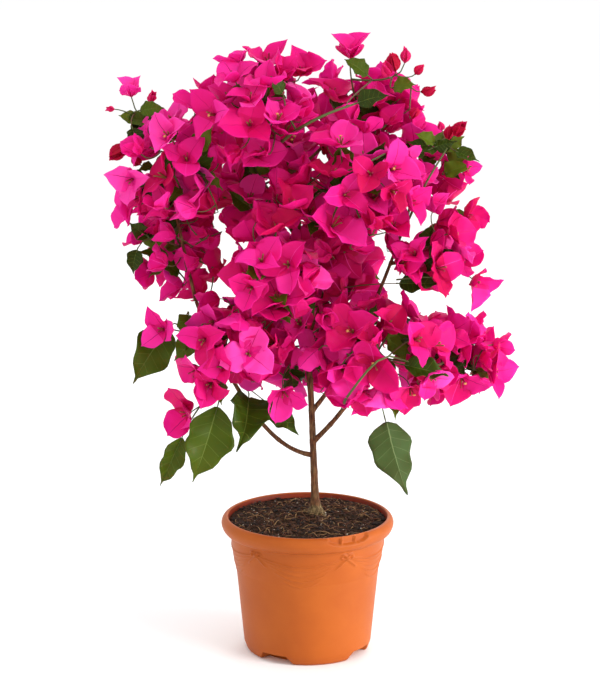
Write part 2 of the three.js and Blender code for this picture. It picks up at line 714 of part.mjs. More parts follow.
function makeBush() {
  const bush = new THREE.Group();
  const add = (name, solid, look) => {
    const material = new THREE.MeshStandardMaterial({ ...COLOURS[look], metalness: 0 });
    const mesh = new THREE.Mesh(geometryOf(solid), material);
    mesh.name = name;
    bush.add(mesh);
  };
  add("pot", makePot(), "pot");
  add("soil", makeSoil(), "soil");
  const limbs = growLimbs();
  for (const [name, limb] of Object.entries(limbs)) add(name, limbSolid(limb), "bark");
  const bark = barkSamples(limbs);
  for (const name of Object.keys(MASSES)) add("mass_" + name, growMass(name, limbs, bark), "blossom");
  return bush;
}

export default makeBush();
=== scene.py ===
"""The looks of a potted bougainvillea bush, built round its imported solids.

Everything is in millimetres until a mesh is made, +Z up and -Y to the front, in the part's own frame.
The limbs and masses grow here again by the rule and the numbers of the part's source. Each mass then
goes on to finer twigs with more blooms, leaves and buds, within the same space.
"""

import math

import bpy
import numpy as np
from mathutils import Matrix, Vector

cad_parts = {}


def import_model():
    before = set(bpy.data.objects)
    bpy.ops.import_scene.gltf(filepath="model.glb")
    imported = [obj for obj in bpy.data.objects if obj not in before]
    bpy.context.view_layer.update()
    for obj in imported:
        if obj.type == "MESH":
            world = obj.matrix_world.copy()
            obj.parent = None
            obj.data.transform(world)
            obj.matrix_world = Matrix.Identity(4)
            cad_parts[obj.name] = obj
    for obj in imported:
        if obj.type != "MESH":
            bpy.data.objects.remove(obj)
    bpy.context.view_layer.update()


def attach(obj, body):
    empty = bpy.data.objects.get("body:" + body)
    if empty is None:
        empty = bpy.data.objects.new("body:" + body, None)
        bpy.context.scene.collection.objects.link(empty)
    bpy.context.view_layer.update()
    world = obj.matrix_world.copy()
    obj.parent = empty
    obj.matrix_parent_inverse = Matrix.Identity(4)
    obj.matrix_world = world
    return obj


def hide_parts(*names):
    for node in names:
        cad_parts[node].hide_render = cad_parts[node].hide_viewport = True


MM = 0.001
TURN = 2 * math.pi
WORD = 0xFFFFFFFF

# ---- values shared with the part's source ----

GAP = 0.3
POT = {"height": 136, "rim": 85, "mouth": 78.5, "neck": 76, "neck_height": 116,
       "shoulder_height": 96, "shoulder": 73.2, "waist_height": 87, "waist": 70.6,
       "heel_height": 9, "heel": 63, "base": 58.5, "wall": 2}
VENT = {"angle": -32, "width": 38, "height": 9, "depth": 11, "count": 4}
SOIL = {"edge": 130, "top": 138}

BRACT = {"length": 36, "half": 0.41, "shoulder": 0.42, "middle": 0.36, "cup": 0.1, "thick": 0.036}
HUB = {"radius": 1.7, "height": 1.5}
LEAF = {"length": 34, "half": 0.29, "middle": 0.42, "fold": 0.1, "thick": 0.04}
BUD = {"length": 14, "half": 0.27, "middle": 0.45, "fold": 0, "thick": 0.5}
TWIG = {"sink": 1.2, "shortest": 6, "longest": 40, "bend": 0.4, "detour": 0.25}
FORKS = (1 / 3, 2 / 3, 0.95)  # shares of a mass's stem that twigs may leave it at
BARK_STEP = 4
CELL_MARGIN = 0.5
TRIES = 8

# How a mass grows: how far blooms and leaves keep from limbs, from other blades and from twigs, how far
# twigs keep from bark, the least room from bloom to bloom, and how many places a bloom is offered.
# judged picks the spots of a bloom that need room, wander is how far a blade may turn from outward,
# stretch widens the mass's reach, and streams says where the seeds of blooms and leaves start.
COARSE = {"limbs": 4.5, "blades": 4, "twigs": 2.5, "bark": 3, "room": 24, "candidates": 700,
          "sizes": (0.82, 1.12), "openings": (42, 72), "leaf_sizes": (0.7, 1.2), "judged": slice(None),
          "wander": 0.9, "stretch": 1, "streams": {"bloom": 0, "leaf": 500}}

TRUNK = {
    "through": [(8.3, 0, 134), (5.5, 0, 205), (3, 2, 262), (-5, 8, 350), (-10, 6, 440), (-24, 0, 515)],
    "radii": (3.6, 1.6),
    "flare": (5.2, 11),
}
MAIN_BOUGHS = {
    "bough_left": ("trunk", 0.165, (-108, -2, 352), 0.19, (2.2, 1.7)),
    "bough_left_up": ("bough_left", 1, (-130, 6, 452), 0.02, (1.6, 1.3)),
    "bough_right": ("trunk", 0.2, (60, -8, 284), 0.06, (2.4, 2.0)),
    "bough_right_out": ("bough_right", 1, (118, -12, 292), -0.1, (1.9, 1.4)),
    "bough_right_up": ("trunk", 0.28, (94, 8, 427), 0.1, (2.2, 1.4)),
}
TWIG_BOUGH = {"radii": (1.7, 1.2), "sag": 0.06, "short": 0.6}
CROWN = {"at": (0, 0, 400), "reach": (200, 105, 210)}

# Seed, middle, reach, blooms and leaves, and the limb that carries it at a share of its length.
MASSES = {
    "crown_left": (11, (-50, -42, 544), (70, 62, 60), (13, 3), ("trunk", 1)),
    "crown_right": (12, (51, 42, 534), (72, 62, 54), (13, 4), ("trunk", 0.9)),
    "shoulder_left": (13, (-127, -28, 502), (68, 58, 72), (10, 6), ("bough_left_up", 1)),
    "upper_left": (14, (-48, 46, 468), (82, 64, 72), (14, 3), ("trunk", 0.72)),
    "upper_right": (15, (42, -46, 470), (82, 64, 70), (14, 3), ("trunk", 0.8)),
    "shoot_right": (16, (108, 26, 484), (54, 56, 58), (7, 7), ("bough_right_up", 1)),
    "flank_left": (27, (-126, 30, 404), (58, 60, 66), (10, 4), ("bough_left_up", 0.3)),
    "heart": (18, (-32, -46, 394), (60, 64, 72), (14, 3), ("trunk", 0.56)),
    "middle": (19, (25, 46, 378), (62, 64, 74), (13, 4), ("trunk", 0.46)),
    "flank_right": (20, (118, -32, 412), (52, 60, 60), (10, 3), ("bough_right_up", 0.8)),
    "lower_left": (21, (-78, -40, 316), (70, 62, 58), (11, 2), ("bough_left", 0.7)),
    "lower_middle": (22, (-4, 44, 306), (82, 64, 66), (14, 4), ("trunk", 0.34)),
    "lower_right": (23, (68, -46, 314), (82, 64, 64), (15, 3), ("bough_right", 0.8)),
    "far_right": (34, (138, 16, 294), (66, 60, 52), (12, 3), ("bough_right_out", 1)),
}

# Kind, place, facing and size, and for some what else differs from the usual.
SPRIGS = {
    "crown_left": [
        ("bloom", (-37, -22, 584), (-0.1, -0.4, 1), 0.9),
        ("bloom", (-7, -24, 574), (0.1, -0.5, 0.9), 0.9, {"opening": 42}),
    ],
    "crown_right": [
        ("bloom", (40, -4, 588), (0, -0.35, 1), 0.88, {"opening": 42}),
        ("bud", (92, -4, 584), (0.1, -0.2, 1), 1.1),
        ("bud", (76, -8, 572), (-0.2, -0.5, 0.8), 1.3),
    ],
    "shoulder_left": [
        ("bloom", (-168, -4, 552), (-0.1, -0.4, 0.9), 0.62, {"opening": 34}),
        ("leaf", (-158, -10, 540), (-0.1, -0.6, -0.7), 1.1),
        ("bud", (-172, -8, 506), (-0.6, -0.5, -0.5), 1.7),
        ("bloom", (-158, -26, 459), (-0.9, -0.5, -0.1), 0.85),
    ],
    "shoot_right": [
        ("bud", (134, 6, 508), (0.2, -0.2, 1), 1.2),
        ("bloom", (148, 4, 480), (0.8, -0.4, 0.1), 0.6),
    ],
    "flank_left": [("leaf", (-164, 2, 404), (-0.3, -0.3, -0.9), 0.8)],
    "flank_right": [
        ("bloom", (150, -12, 440), (0.7, -0.7, 0), 0.7),
        ("bloom", (158, -20, 378), (0.6, -0.7, -0.4), 0.9),
    ],
    "lower_left": [
        ("bloom", (-138, -36, 332), (-0.5, -0.8, 0.1), 0.75),
        ("bloom", (-114, -14, 244), (-0.7, -0.7, -0.1), 0.95),
        ("leaf", (-131, -16, 332), (-0.62, -0.3, -0.76), 2),
        ("leaf", (-114, -34, 348), (0.05, -0.9, -0.45), 1.4),
        ("leaf", (-85, -44, 264), (-0.28, -0.15, -1), 2.5),
        ("leaf", (-121, -2, 220), (-0.4, 0.1, -0.92), 1.9, {"narrow": 0.62}),
        ("leaf", (-57, -18, 264), (0, -0.88, -0.42), 2.3),
    ],
    "lower_right": [
        ("leaf", (74, -34, 246), (0.24, -0.2, -0.96), 2.35, {"backward": True}),
        ("leaf", (88, -70, 306), (1, -0.2, -0.16), 1.4),
    ],
    "far_right": [
        ("bloom", (176, 4, 280), (0.8, -0.5, 0.1), 0.95),
        ("bloom", (150, 0, 276), (0.1, -0.7, -0.5), 0.85),
    ],
}

# ---- values of the finer growth ----

# The finer blooms are judged by their hub and the middles of their bracts alone, so that bracts may
# lap over each other and over the planes between the masses. They turn every way.
FINE = {"limbs": 2, "blades": 2.2, "twigs": 0.5, "bark": 1.5, "room": 14, "candidates": 450,
        "sizes": (0.66, 0.98), "openings": (24, 66), "leaf_sizes": (0.55, 1.25),
        "judged": [3, 7, 12, 17], "wander": 1.7, "stretch": 1.03, "streams": {"bloom": 700, "leaf": 900}}

# Finer blooms and leaves of each mass. The shoots at the sides are thinner and leafier than the rest.
FINE_BEARS = {name: (18, 10) for name in MASSES}
FINE_BEARS.update(shoot_right=(7, 18), shoulder_left=(13, 16), crown_right=(15, 14), flank_right=(11, 10))

# Finer sprigs that grow to set places, come what may: the red tips of the topmost and outermost
# shoots, and some leaves and blooms between the masses.
FINE_SPRIGS = {
    "crown_left": [("leaf", (-23, -64, 562), (-0.4, -0.4, 0.8), 0.7)],
    "crown_right": [
        ("bud", (83, -6, 576), (-0.2, -0.3, 1), 1.4),
        ("bud", (102, -2, 573), (0.6, -0.3, 0.7), 0.9),
        ("bud", (108, -2, 556), (0.9, -0.3, 0.2), 1.1),
        ("bud", (99, -10, 532), (0.3, -0.6, 0.8), 1.1),
        ("leaf", (80, -4, 560), (0.7, -0.5, 0.3), 0.8),
        ("leaf", (58, -12, 572), (-0.6, -0.4, 0.6), 0.9),
        ("leaf", (44, -66, 554), (0.9, -0.3, 0.4), 1.0),
    ],
    "shoulder_left": [
        ("bud", (-150, -6, 546), (0.3, -0.4, 0.8), 1.0),
        ("bud", (-184, -6, 540), (-0.8, -0.3, 0.1), 0.6),
        ("bud", (-160, -14, 488), (-0.4, -0.6, 0.6), 1.0),
        ("leaf", (-148, -14, 528), (-0.7, -0.5, 0.3), 0.9),
        ("leaf", (-160, -30, 542), (0.95, -0.3, 0.25), 0.75),
        ("leaf", (-166, -34, 528), (0.3, -0.5, -0.85), 0.85),
        ("leaf", (-108, -46, 506), (0.55, -0.35, 0.75), 1.0),
        ("leaf", (-152, -20, 474), (-0.8, -0.6, 0.1), 0.9),
        ("bloom", (-168, -10, 446), (-0.95, -0.4, 0), 0.8),
    ],
    "shoot_right": [
        ("bud", (140, 0, 514), (0.5, -0.4, 0.7), 1.3),
        ("bud", (128, -6, 520), (-0.2, -0.4, 0.9), 0.8),
        ("leaf", (122, -4, 506), (-0.7, -0.4, 0.5), 0.7),
        ("leaf", (140, -2, 500), (0.8, -0.4, -0.3), 0.8),
        ("leaf", (112, -8, 500), (-0.8, -0.5, -0.1), 0.7),
        ("leaf", (126, 2, 500), (-0.8, -0.4, 0.3), 1.0),
        ("leaf", (130, 0, 476), (0.7, -0.5, 0.5), 0.9),
    ],
    "flank_right": [
        ("bloom", (146, -20, 396), (0.6, -0.7, 0.3), 0.7),
    ],
    "lower_left": [
        ("bloom", (-92, -54, 284), (-0.3, -0.9, -0.2), 0.8),
        ("leaf", (-100, -58, 342), (-0.55, -0.4, -0.75), 1.3),
        ("leaf", (-44, -24, 260), (0.75, -0.5, -0.5), 1.5),
    ],
    "middle": [("leaf", (84, -50, 380), (0.9, -0.4, 0.1), 1.2)],
    "lower_middle": [("bloom", (-24, -34, 272), (0.1, -0.8, -0.5), 0.9, {"opening": 48})],
    "lower_right": [("leaf", (80, -40, 274), (0.2, -0.5, -0.8), 0.9)],
}

# Green shoots that lie over the front of the crown: places along each, and its two radii.
SHOOTS = (
    (((-24, -50, 516), (-11, -66, 529), (16, -76, 545), (44, -66, 554)), (1.7, 1.0)),
    (((-11, -66, 529), (-19, -68, 545), (-23, -64, 562)), (1.0, 0.6)),
    (((95, -20, 433), (113, -24, 473), (133, -8, 503)), (1.3, 0.8)),
    (((30, -72, 489), (52, -78, 499), (72, -72, 508)), (1.1, 0.8)),
    (((84, -52, 384), (110, -60, 388), (134, -50, 384)), (0.9, 0.6)),
    (((34, -5, 246), (39, -88, 281), (58, -103, 310), (72, -98, 320), (95, -76, 310)), (1.7, 0.8)),
)

# Where the sky shows between the masses: middle along X and Z, and half-width along each. No finer
# bloom or leaf closes these openings, but for the sprigs.
SKY = np.array([
    (-82, 375, 17, 19), (68, 386, 20, 17), (112, 370, 32, 13), (40, 572, 24, 10), (107, 434, 15, 14),
    (-112, 298, 16, 26), (-138, 366, 26, 10), (60, 424, 11, 14), (132, 534, 14, 12), (-112, 556, 14, 8),
    (62, 390, 13, 12), (146, 418, 9, 9), (168, 340, 12, 12), (64, 250, 44, 9), (-156, 545, 10, 10),
    (-136, 556, 12, 10),
])

# ---- small helpers ----


def stream(seed):
    """A seeded stream of numbers from 0 to 1, the same as in the part's source."""
    state = seed & WORD

    def draw():
        nonlocal state
        state = (state + 0x6D2B79F5) & WORD
        t = ((state ^ (state >> 15)) * (state | 1)) & WORD
        t ^= (t + (((t ^ (t >> 7)) * (t | 61)) & WORD)) & WORD
        return ((t ^ (t >> 14)) & WORD) / (WORD + 1)

    return draw


def mix(a, b, t):
    """The value a share t of the way from a to b."""
    return a + (b - a) * t


def unit(v):
    v = np.asarray(v, float)
    return v / np.maximum(np.linalg.norm(v, axis=-1, keepdims=True), 1e-12)


def smooth(low, high, x):
    """Rises gently from 0 at low to 1 at high."""
    t = np.clip((x - low) / (high - low), 0, 1)
    return t * t * (3 - 2 * t)


def noise(p, seed=0):
    """Smooth noise from -1 to 1 at an array of points."""
    p = np.asarray(p, float)
    cell = np.floor(p).astype(np.int64)
    f = p - cell
    f = f * f * (3 - 2 * f)
    total = np.zeros(p.shape[:-1])
    for corner in np.ndindex(2, 2, 2):
        c = cell + np.array(corner)
        h = (c[..., 0] * 374761393 + c[..., 1] * 668265263 + c[..., 2] * 974634777 + seed * 69069) & WORD
        h = ((h ^ (h >> 13)) * 1274126177) & WORD
        value = 2 * (h ^ (h >> 16)) / (WORD + 1) - 1
        total += value * np.prod(np.where(corner, f, 1 - f), axis=-1)
    return total


def travelled(points):
    """The length of the way along a row of points, at each of them."""
    return np.concatenate([[0], np.cumsum(np.linalg.norm(np.diff(points, axis=0), axis=1))])


class Curve:
    """A curve with places by the share of its length."""

    steps = np.linspace(0, 1, 201)

    def __init__(self, point):
        self.point = point
        self.lengths = travelled(point(self.steps))
        self.length = self.lengths[-1]

    def parameter(self, share):
        return np.interp(np.asarray(share, float) * self.length, self.lengths, self.steps)

    def at(self, share):
        return self.point(self.parameter(share))

    def tangent(self, share):
        t = self.parameter(share)
        return unit(self.point(np.minimum(t + 1e-4, 1)) - self.point(np.maximum(t - 1e-4, 0)))

    def spaced(self, count):
        return self.at(np.arange(count + 1) / count)


def bezier(a, b, c):
    """A quadratic Bezier curve."""
    a, b, c = (np.asarray(p, float) for p in (a, b, c))

    def point(t):
        t = np.asarray(t, float)[..., None]
        return (1 - t) ** 2 * a + 2 * (1 - t) * t * b + t * t * c

    return Curve(point)


def spline(through):
    """A centripetal Catmull-Rom curve through some points."""
    p = np.array(through, float)
    p = np.vstack([2 * p[0] - p[1], p, 2 * p[-1] - p[-2]])
    count = len(through) - 1
    pieces = []
    for i in range(count):
        p0, p1, p2, p3 = p[i : i + 4]
        d0, d1, d2 = (np.linalg.norm(b - a) ** 0.5 for a, b in ((p0, p1), (p1, p2), (p2, p3)))
        t1 = ((p1 - p0) / d0 - (p2 - p0) / (d0 + d1) + (p2 - p1) / d1) * d1
        t2 = ((p2 - p1) / d1 - (p3 - p1) / (d1 + d2) + (p3 - p2) / d2) * d1
        pieces.append([p1, t1, -3 * p1 + 3 * p2 - 2 * t1 - t2, 2 * p1 - 2 * p2 + t1 + t2])
    pieces = np.array(pieces)

    def point(t):
        place = np.asarray(t, float) * count
        i = np.minimum(place.astype(int), count - 1)
        w = (place - i)[..., None]
        c = pieces[i]
        return c[..., 0, :] + w * (c[..., 1, :] + w * (c[..., 2, :] + w * c[..., 3, :]))

    return Curve(point)


# ---- limbs, by the source's rule ----


def arc(start, tip, sag):
    control = (start + tip) / 2
    control[2] -= 2 * sag * np.linalg.norm(tip - start)
    return bezier(start, control, tip)


class Limb:
    """The trunk, which flares at its foot, or a bough."""

    def __init__(self, curve, radii, flare=None):
        self.curve = curve
        self.radii = radii
        self.flare = flare

    def radius(self, t):
        r = mix(self.radii[0], self.radii[1], t)
        if self.flare:
            r = r + self.flare[0] * np.exp(-t * self.curve.length / self.flare[1])
        return r


def grow_bough(limbs, parent, at, to, sag, radii):
    start = limbs[parent].curve.at(at)
    to = np.array(to, float)
    if at == 1:
        ahead = limbs[parent].curve.tangent(1)
        lean = math.acos(np.clip(ahead @ arc(start, to, sag).tangent(0), -1, 1))
        start = start + ahead * (GAP + radii[0] * math.sin(lean))
    return Limb(arc(start, to, sag), radii)


def carrier_of(name):
    """The limb whose tip carries a mass."""
    parent, at = MASSES[name][4]
    return parent if at == 1 else "bough_" + name


def grow_limbs():
    limbs = {"trunk": Limb(spline(TRUNK["through"]), TRUNK["radii"], TRUNK["flare"])}
    for name, bough in MAIN_BOUGHS.items():
        limbs[name] = grow_bough(limbs, *bough)
    for name, (_, middle, reach, _, (parent, at)) in MASSES.items():
        if carrier_of(name) == parent:
            continue
        middle = np.array(middle, float)
        start = limbs[parent].curve.at(at)
        inside = 0.5 * min(reach[0], reach[2])
        short = min(TWIG_BOUGH["short"], inside / np.linalg.norm(middle - start))
        tip = mix(middle, start, short)
        limbs[carrier_of(name)] = grow_bough(limbs, parent, at, tip, TWIG_BOUGH["sag"], TWIG_BOUGH["radii"])
    return limbs


def bark_of(limbs):
    """Places along all limbs, and the radius at each."""
    points, radii = [], []
    for limb in limbs.values():
        count = math.ceil(limb.curve.length / BARK_STEP)
        points.append(limb.curve.spaced(count))
        radii.append(limb.radius(np.arange(count + 1) / count))
    return np.vstack(points), np.concatenate(radii)


# ---- what a twig carries, as places that need room ----


def turned(u, v, angle):
    """The direction at an angle from u towards v."""
    return u * np.cos(angle) + v * np.sin(angle)


def axes_along(direction, angle):
    """Axes with the third along a direction, turned round it by an angle. Works on rows of either."""
    n = unit(direction)
    is_low = np.abs(n[..., 2:]) < 0.9
    helper = np.where(is_low, np.array([0.0, 0, 1]), np.array([1.0, 0, 0]))
    a = unit(np.cross(helper, n))
    b = np.cross(n, a)
    u = turned(a, b, np.asarray(angle)[..., None])
    return u, np.cross(n, u), n


def leaned(n, out, opening):
    """Axes along, across and out of a bract that leans from its bloom's axis n towards out."""
    along = turned(n, out, opening)
    side = np.cross(n, out)
    return along, side, np.cross(along, side)


def with_middles(points, fan):
    """Points with the middles of some triangles and of their outer edges, as the source judges room."""
    rows = [points]
    for corners in fan:
        rows.append(points[..., corners, :].mean(-2)[..., None, :])
        rows.append(points[..., corners[1:], :].mean(-2)[..., None, :])
    return np.concatenate(rows, axis=-2)


def bloom_spots(place, facing, turn, size, opening):
    """The spots of a bloom, or of a row of them: its hub's, and five for each of its three bracts."""
    length = (BRACT["length"] * np.asarray(size))[..., None]
    opening = np.asarray(opening)[..., None]
    u, v, n = axes_along(facing, turn)
    points = [place + turned(u, v, (k - 0.5) * TURN / 3) * HUB["radius"] for k in range(3)]
    points.append(place + n * HUB["height"])
    fan = []
    for k in range(3):
        along, side, up = leaned(n, turned(u, v, k * TURN / 3), opening)
        shoulder = place + along * length * BRACT["shoulder"]
        middle = place + along * length * BRACT["middle"] - up * length * BRACT["cup"]
        first = len(points)
        points += [
            shoulder - side * length * BRACT["half"],
            place + along * length,
            shoulder + side * length * BRACT["half"],
            middle + up * length * BRACT["thick"] / 2,
            middle - up * length * BRACT["thick"] / 2,
        ]
        inner = [3, k, first, first + 1, first + 2, (k + 1) % 3]
        fan += [[first + 3, p, inner[(i + 1) % 6]] for i, p in enumerate(inner)]
    return with_middles(np.stack(points, axis=-2), fan)


def blade_axes(facing, normal):
    """Axes along, across and out of a blade, with its upper face as near to a normal as may be."""
    along = unit(facing)
    side = unit(np.cross(normal, along))
    return along, side, np.cross(along, side)


def blade_spots(place, facing, normal, form, size, narrow):
    """The spots of a single leaf or young bract, but for the first, which is sunk in its twig."""
    along, side, up = blade_axes(facing, normal)
    length = form["length"] * size
    middle = place + along * length * form["middle"]
    edge = middle + up * length * form["fold"]
    half = length * form["half"] * narrow
    points = [
        place - along * TWIG["sink"],
        edge - side * half,
        place + along * length,
        edge + side * half,
        middle + up * length * form["thick"] / 2,
        middle - up * length * form["thick"] / 2,
    ]
    return with_middles(np.array(points), [[4, k, (k + 1) % 4] for k in range(4)])[1:]


def normal_for(turn):
    """Which way a blade's upper face looks: to the front, and up or a little down."""
    return np.array([0.2 * math.cos(turn), -0.6, 0.6 * math.sin(turn) + 0.4])


# ---- masses ----


def far_from(points, places, spare):
    """True where no point lies nearer to a place than spare, which may be one for each place."""
    if len(places) == 0:
        return True
    apart = (points**2).sum(1)[:, None] + (places**2).sum(1)[None] - 2 * points @ places.T
    return bool((apart >= np.square(spare)).all())


def shows_sky(spots):
    """True where a spot lies in one of the openings."""
    middles, halves = SKY[:, None, :2], SKY[:, None, 2:]
    off = (spots[:, [0, 2]] - middles) / halves
    return bool(((off**2).sum(-1) < 1).any())


class Mass:
    """A mass as it grows, by the source's rule, and then on by a finer one."""

    def __init__(self, name, limbs, bark):
        self.name = name
        self.seed, middle, reach, self.bears, _ = MASSES[name]
        self.at = np.array(middle, float)
        self.reach = np.array(reach, float)
        self.bark, self.bark_radii = bark
        self.set_walls()
        tip = limbs[carrier_of(name)].curve
        lead = tip.tangent(1)
        root = tip.at(1) + lead * GAP
        bend = root + lead * TWIG["bend"] * np.linalg.norm(self.at - root)
        self.stem = bezier(root, bend, self.at)
        self.forks = [(self.stem.at(share), 0.0) for share in FORKS]
        self.sites = [self.stem.at(0.5)]
        self.wood = self.stem.spaced(8)
        self.blades = np.zeros((0, 3))
        self.twigs = []
        self.grown = []

    def set_walls(self):
        """Sets the planes that part this mass's space from those of the other masses."""
        size = lambda reach: (reach[0] + reach[2]) / 2
        normals, offsets = [], []
        for other, (_, middle, reach, _, _) in MASSES.items():
            if other == self.name:
                continue
            between = np.array(middle, float) - self.at
            apart = np.linalg.norm(between)
            share = (apart**2 + size(self.reach) ** 2 - size(reach) ** 2) / (2 * apart)
            normals.append(between / apart)
            offsets.append(share - CELL_MARGIN)
        self.normals, self.offsets = np.array(normals), np.array(offsets)

    def on_its_side(self, points):
        return ~((points - self.at) @ self.normals.T > self.offsets).any(-1)

    def in_reach(self, points, stretch):
        return (((points - self.at) / self.reach) ** 2).sum(-1) <= stretch * stretch

    def inside(self, points, stretch):
        return self.on_its_side(points) & self.in_reach(points, stretch)

    def outward(self, p, nudge, wander):
        """A direction away from the mass's middle and from the crown's, and a little up, with a nudge."""
        way = (p - self.at) / self.reach * 0.6 + (p - np.array(CROWN["at"])) / np.array(CROWN["reach"])
        return unit(way + (0, 0, 0.3) + (np.asarray(nudge) - 0.5) * wander)

    def places(self, draws):
        """Places spread evenly through the mass's ellipsoid, one for each row of three draws."""
        z = mix(-1, 1, draws[:, 0])
        angle = draws[:, 1] * TURN
        r = np.cbrt(draws[:, 2])
        flat = r * np.sqrt(1 - z * z)
        return self.at + self.reach * np.stack([flat * np.cos(angle), flat * np.sin(angle), r * z], 1)

    def has_room(self, spots, rule, heeds_twigs=True):
        return (
            not (rule is FINE and shows_sky(spots))
            and far_from(spots, self.bark, self.bark_radii + rule["limbs"])
            and far_from(spots, self.blades, rule["blades"])
            and (not heeds_twigs or far_from(spots, self.wood, rule["twigs"]))
        )

    def twig_to(self, at, facing, stretch, rule, always=False):
        """A twig from the best fork to a place, or None where it is too short or has no room."""
        costs = [np.linalg.norm(p - at) + TWIG["detour"] * reach for p, reach in self.forks]
        root, reach = self.forks[int(np.argmin(costs))]
        length = np.linalg.norm(root - at)
        if length < TWIG["shortest"]:
            return None
        curve = bezier(root, at - facing * TWIG["bend"] * length, at)
        knots = curve.spaced(3 if curve.length > TWIG["longest"] else 2)
        along = []
        for a, b in zip(knots, knots[1:]):
            count = math.ceil(np.linalg.norm(b - a) / BARK_STEP)
            along += [mix(a, b, (k + 1) / count) for k in range(count)]
        along = np.array(along[1:])
        is_free = always or (
            self.inside(along, stretch).all()
            and far_from(along, self.bark, self.bark_radii + rule["bark"])
            and far_from(along, self.blades, rule["twigs"])
        )
        if not is_free:
            return None
        return {"curve": curve, "knots": knots, "along": along, "reach": reach + length / 2}

    def keep(self, kind, spots, rule, twig=None, **looks):
        """Takes in what has grown, and the twig that carries it."""
        self.grown.append({"kind": kind, **looks})
        self.blades = np.vstack([self.blades, spots])
        if twig:
            self.twigs.append((twig["curve"], rule is FINE))
            self.forks += [(p, twig["reach"]) for p in twig["knots"][1:-1]]
            self.sites.append(looks["place"])
            self.wood = np.vstack([self.wood, twig["along"]])

    def grow_sprig(self, kind, at, facing, size, rule, turn=0.0, opening=55, narrow=1.0, backward=False):
        """Grows a bloom, leaf or bud at a set place. A finer one grows even where there is no room."""
        at, facing = np.array(at, float), unit(facing)
        always = rule is FINE
        twig = self.twig_to(at, facing, math.inf, rule, always)
        normal = normal_for(turn)
        if kind == "bloom":
            spots = bloom_spots(at, facing, turn, size, math.radians(opening))
        else:
            spots = blade_spots(at, facing, normal, LEAF if kind == "leaf" else BUD, size, narrow)
        if twig and (always or self.inside(spots, math.inf).all() and self.has_room(spots, rule)):
            self.keep(kind, spots, rule, twig, place=at, facing=facing, size=size, turn=turn,
                      opening=math.radians(opening), narrow=narrow, normal=-normal if backward else normal)

    def grow_bloom(self, draw, rule):
        """Grows a bloom at the place farthest from the mass's other blooms where one fits."""
        draws = np.array([draw() for _ in range(3 * rule["candidates"])]).reshape(-1, 3)
        places = self.places(draws)
        apart = np.linalg.norm(places[:, None] - np.array(self.sites)[None], axis=2).min(1)
        order = [i for i in np.argsort(-apart, kind="stable") if apart[i] > rule["room"]]
        places = places[order]
        draws = np.array([draw() for _ in range(6 * len(order))]).reshape(-1, 6)
        facings = self.outward(places, draws[:, :3], rule["wander"])
        turns = draws[:, 3] * TURN
        sizes = mix(*rule["sizes"], draws[:, 4])
        openings = np.radians(mix(*rule["openings"], draws[:, 5]))
        spots = bloom_spots(places, facings, turns, sizes, openings)
        judged = spots[:, rule["judged"]]
        inside = self.in_reach(spots, rule["stretch"]).all(-1) & self.on_its_side(judged).all(-1)
        for i in np.flatnonzero(inside):
            if not self.has_room(judged[i], rule):
                continue
            twig = self.twig_to(places[i], facings[i], 1, rule)
            if twig:
                self.keep("bloom", spots[i], rule, twig, place=places[i], facing=facings[i],
                          turn=turns[i], size=sizes[i], opening=openings[i])
                return

    def grow_leaf(self, draw, rule):
        """Grows a leaf straight from a fork, in the first of a few directions that has room."""
        fork = self.forks[int(draw() * len(self.forks))][0]
        for _ in range(TRIES):
            facing = self.outward(fork, [draw(), draw(), draw()], rule["wander"])
            size = mix(*rule["leaf_sizes"], draw())
            normal = normal_for(draw() * TURN)
            spots = blade_spots(fork, facing, normal, LEAF, size, 1.0)
            if self.inside(spots, 1).all() and self.has_room(spots, rule, heeds_twigs=False):
                self.keep("leaf", spots, rule, place=fork, facing=facing, size=size,
                          narrow=1.0, normal=normal)
                return

    def grow_sprigs(self, sprigs, rule):
        for kind, at, facing, size, *looks in sprigs.get(self.name, []):
            self.grow_sprig(kind, at, facing, size, rule, **dict(*looks))

    def grow_many(self, kind, count, rule):
        """Grows blooms or leaves, each by its own stream of numbers."""
        grow_one = self.grow_bloom if kind == "bloom" else self.grow_leaf
        for index in range(count):
            grow_one(stream(self.seed * 1000 + rule["streams"][kind] + index), rule)

    def grow(self):
        blooms, leaves = self.bears
        self.grow_sprigs(SPRIGS, COARSE)
        self.grow_many("bloom", blooms, COARSE)
        self.grow_many("leaf", leaves, COARSE)

    def grow_finer(self):
        blooms, leaves = FINE_BEARS[self.name]
        self.grow_sprigs(FINE_SPRIGS, FINE)
        self.grow_many("leaf", leaves, FINE)
        self.grow_many("bloom", blooms, FINE)


def grow_masses(limbs):
    bark = bark_of(limbs)
    masses = [Mass(name, limbs, bark) for name in MASSES]
    for mass in masses:
        mass.grow()
    for mass in masses:
        mass.grow_finer()
    return masses


# ---- meshes ----


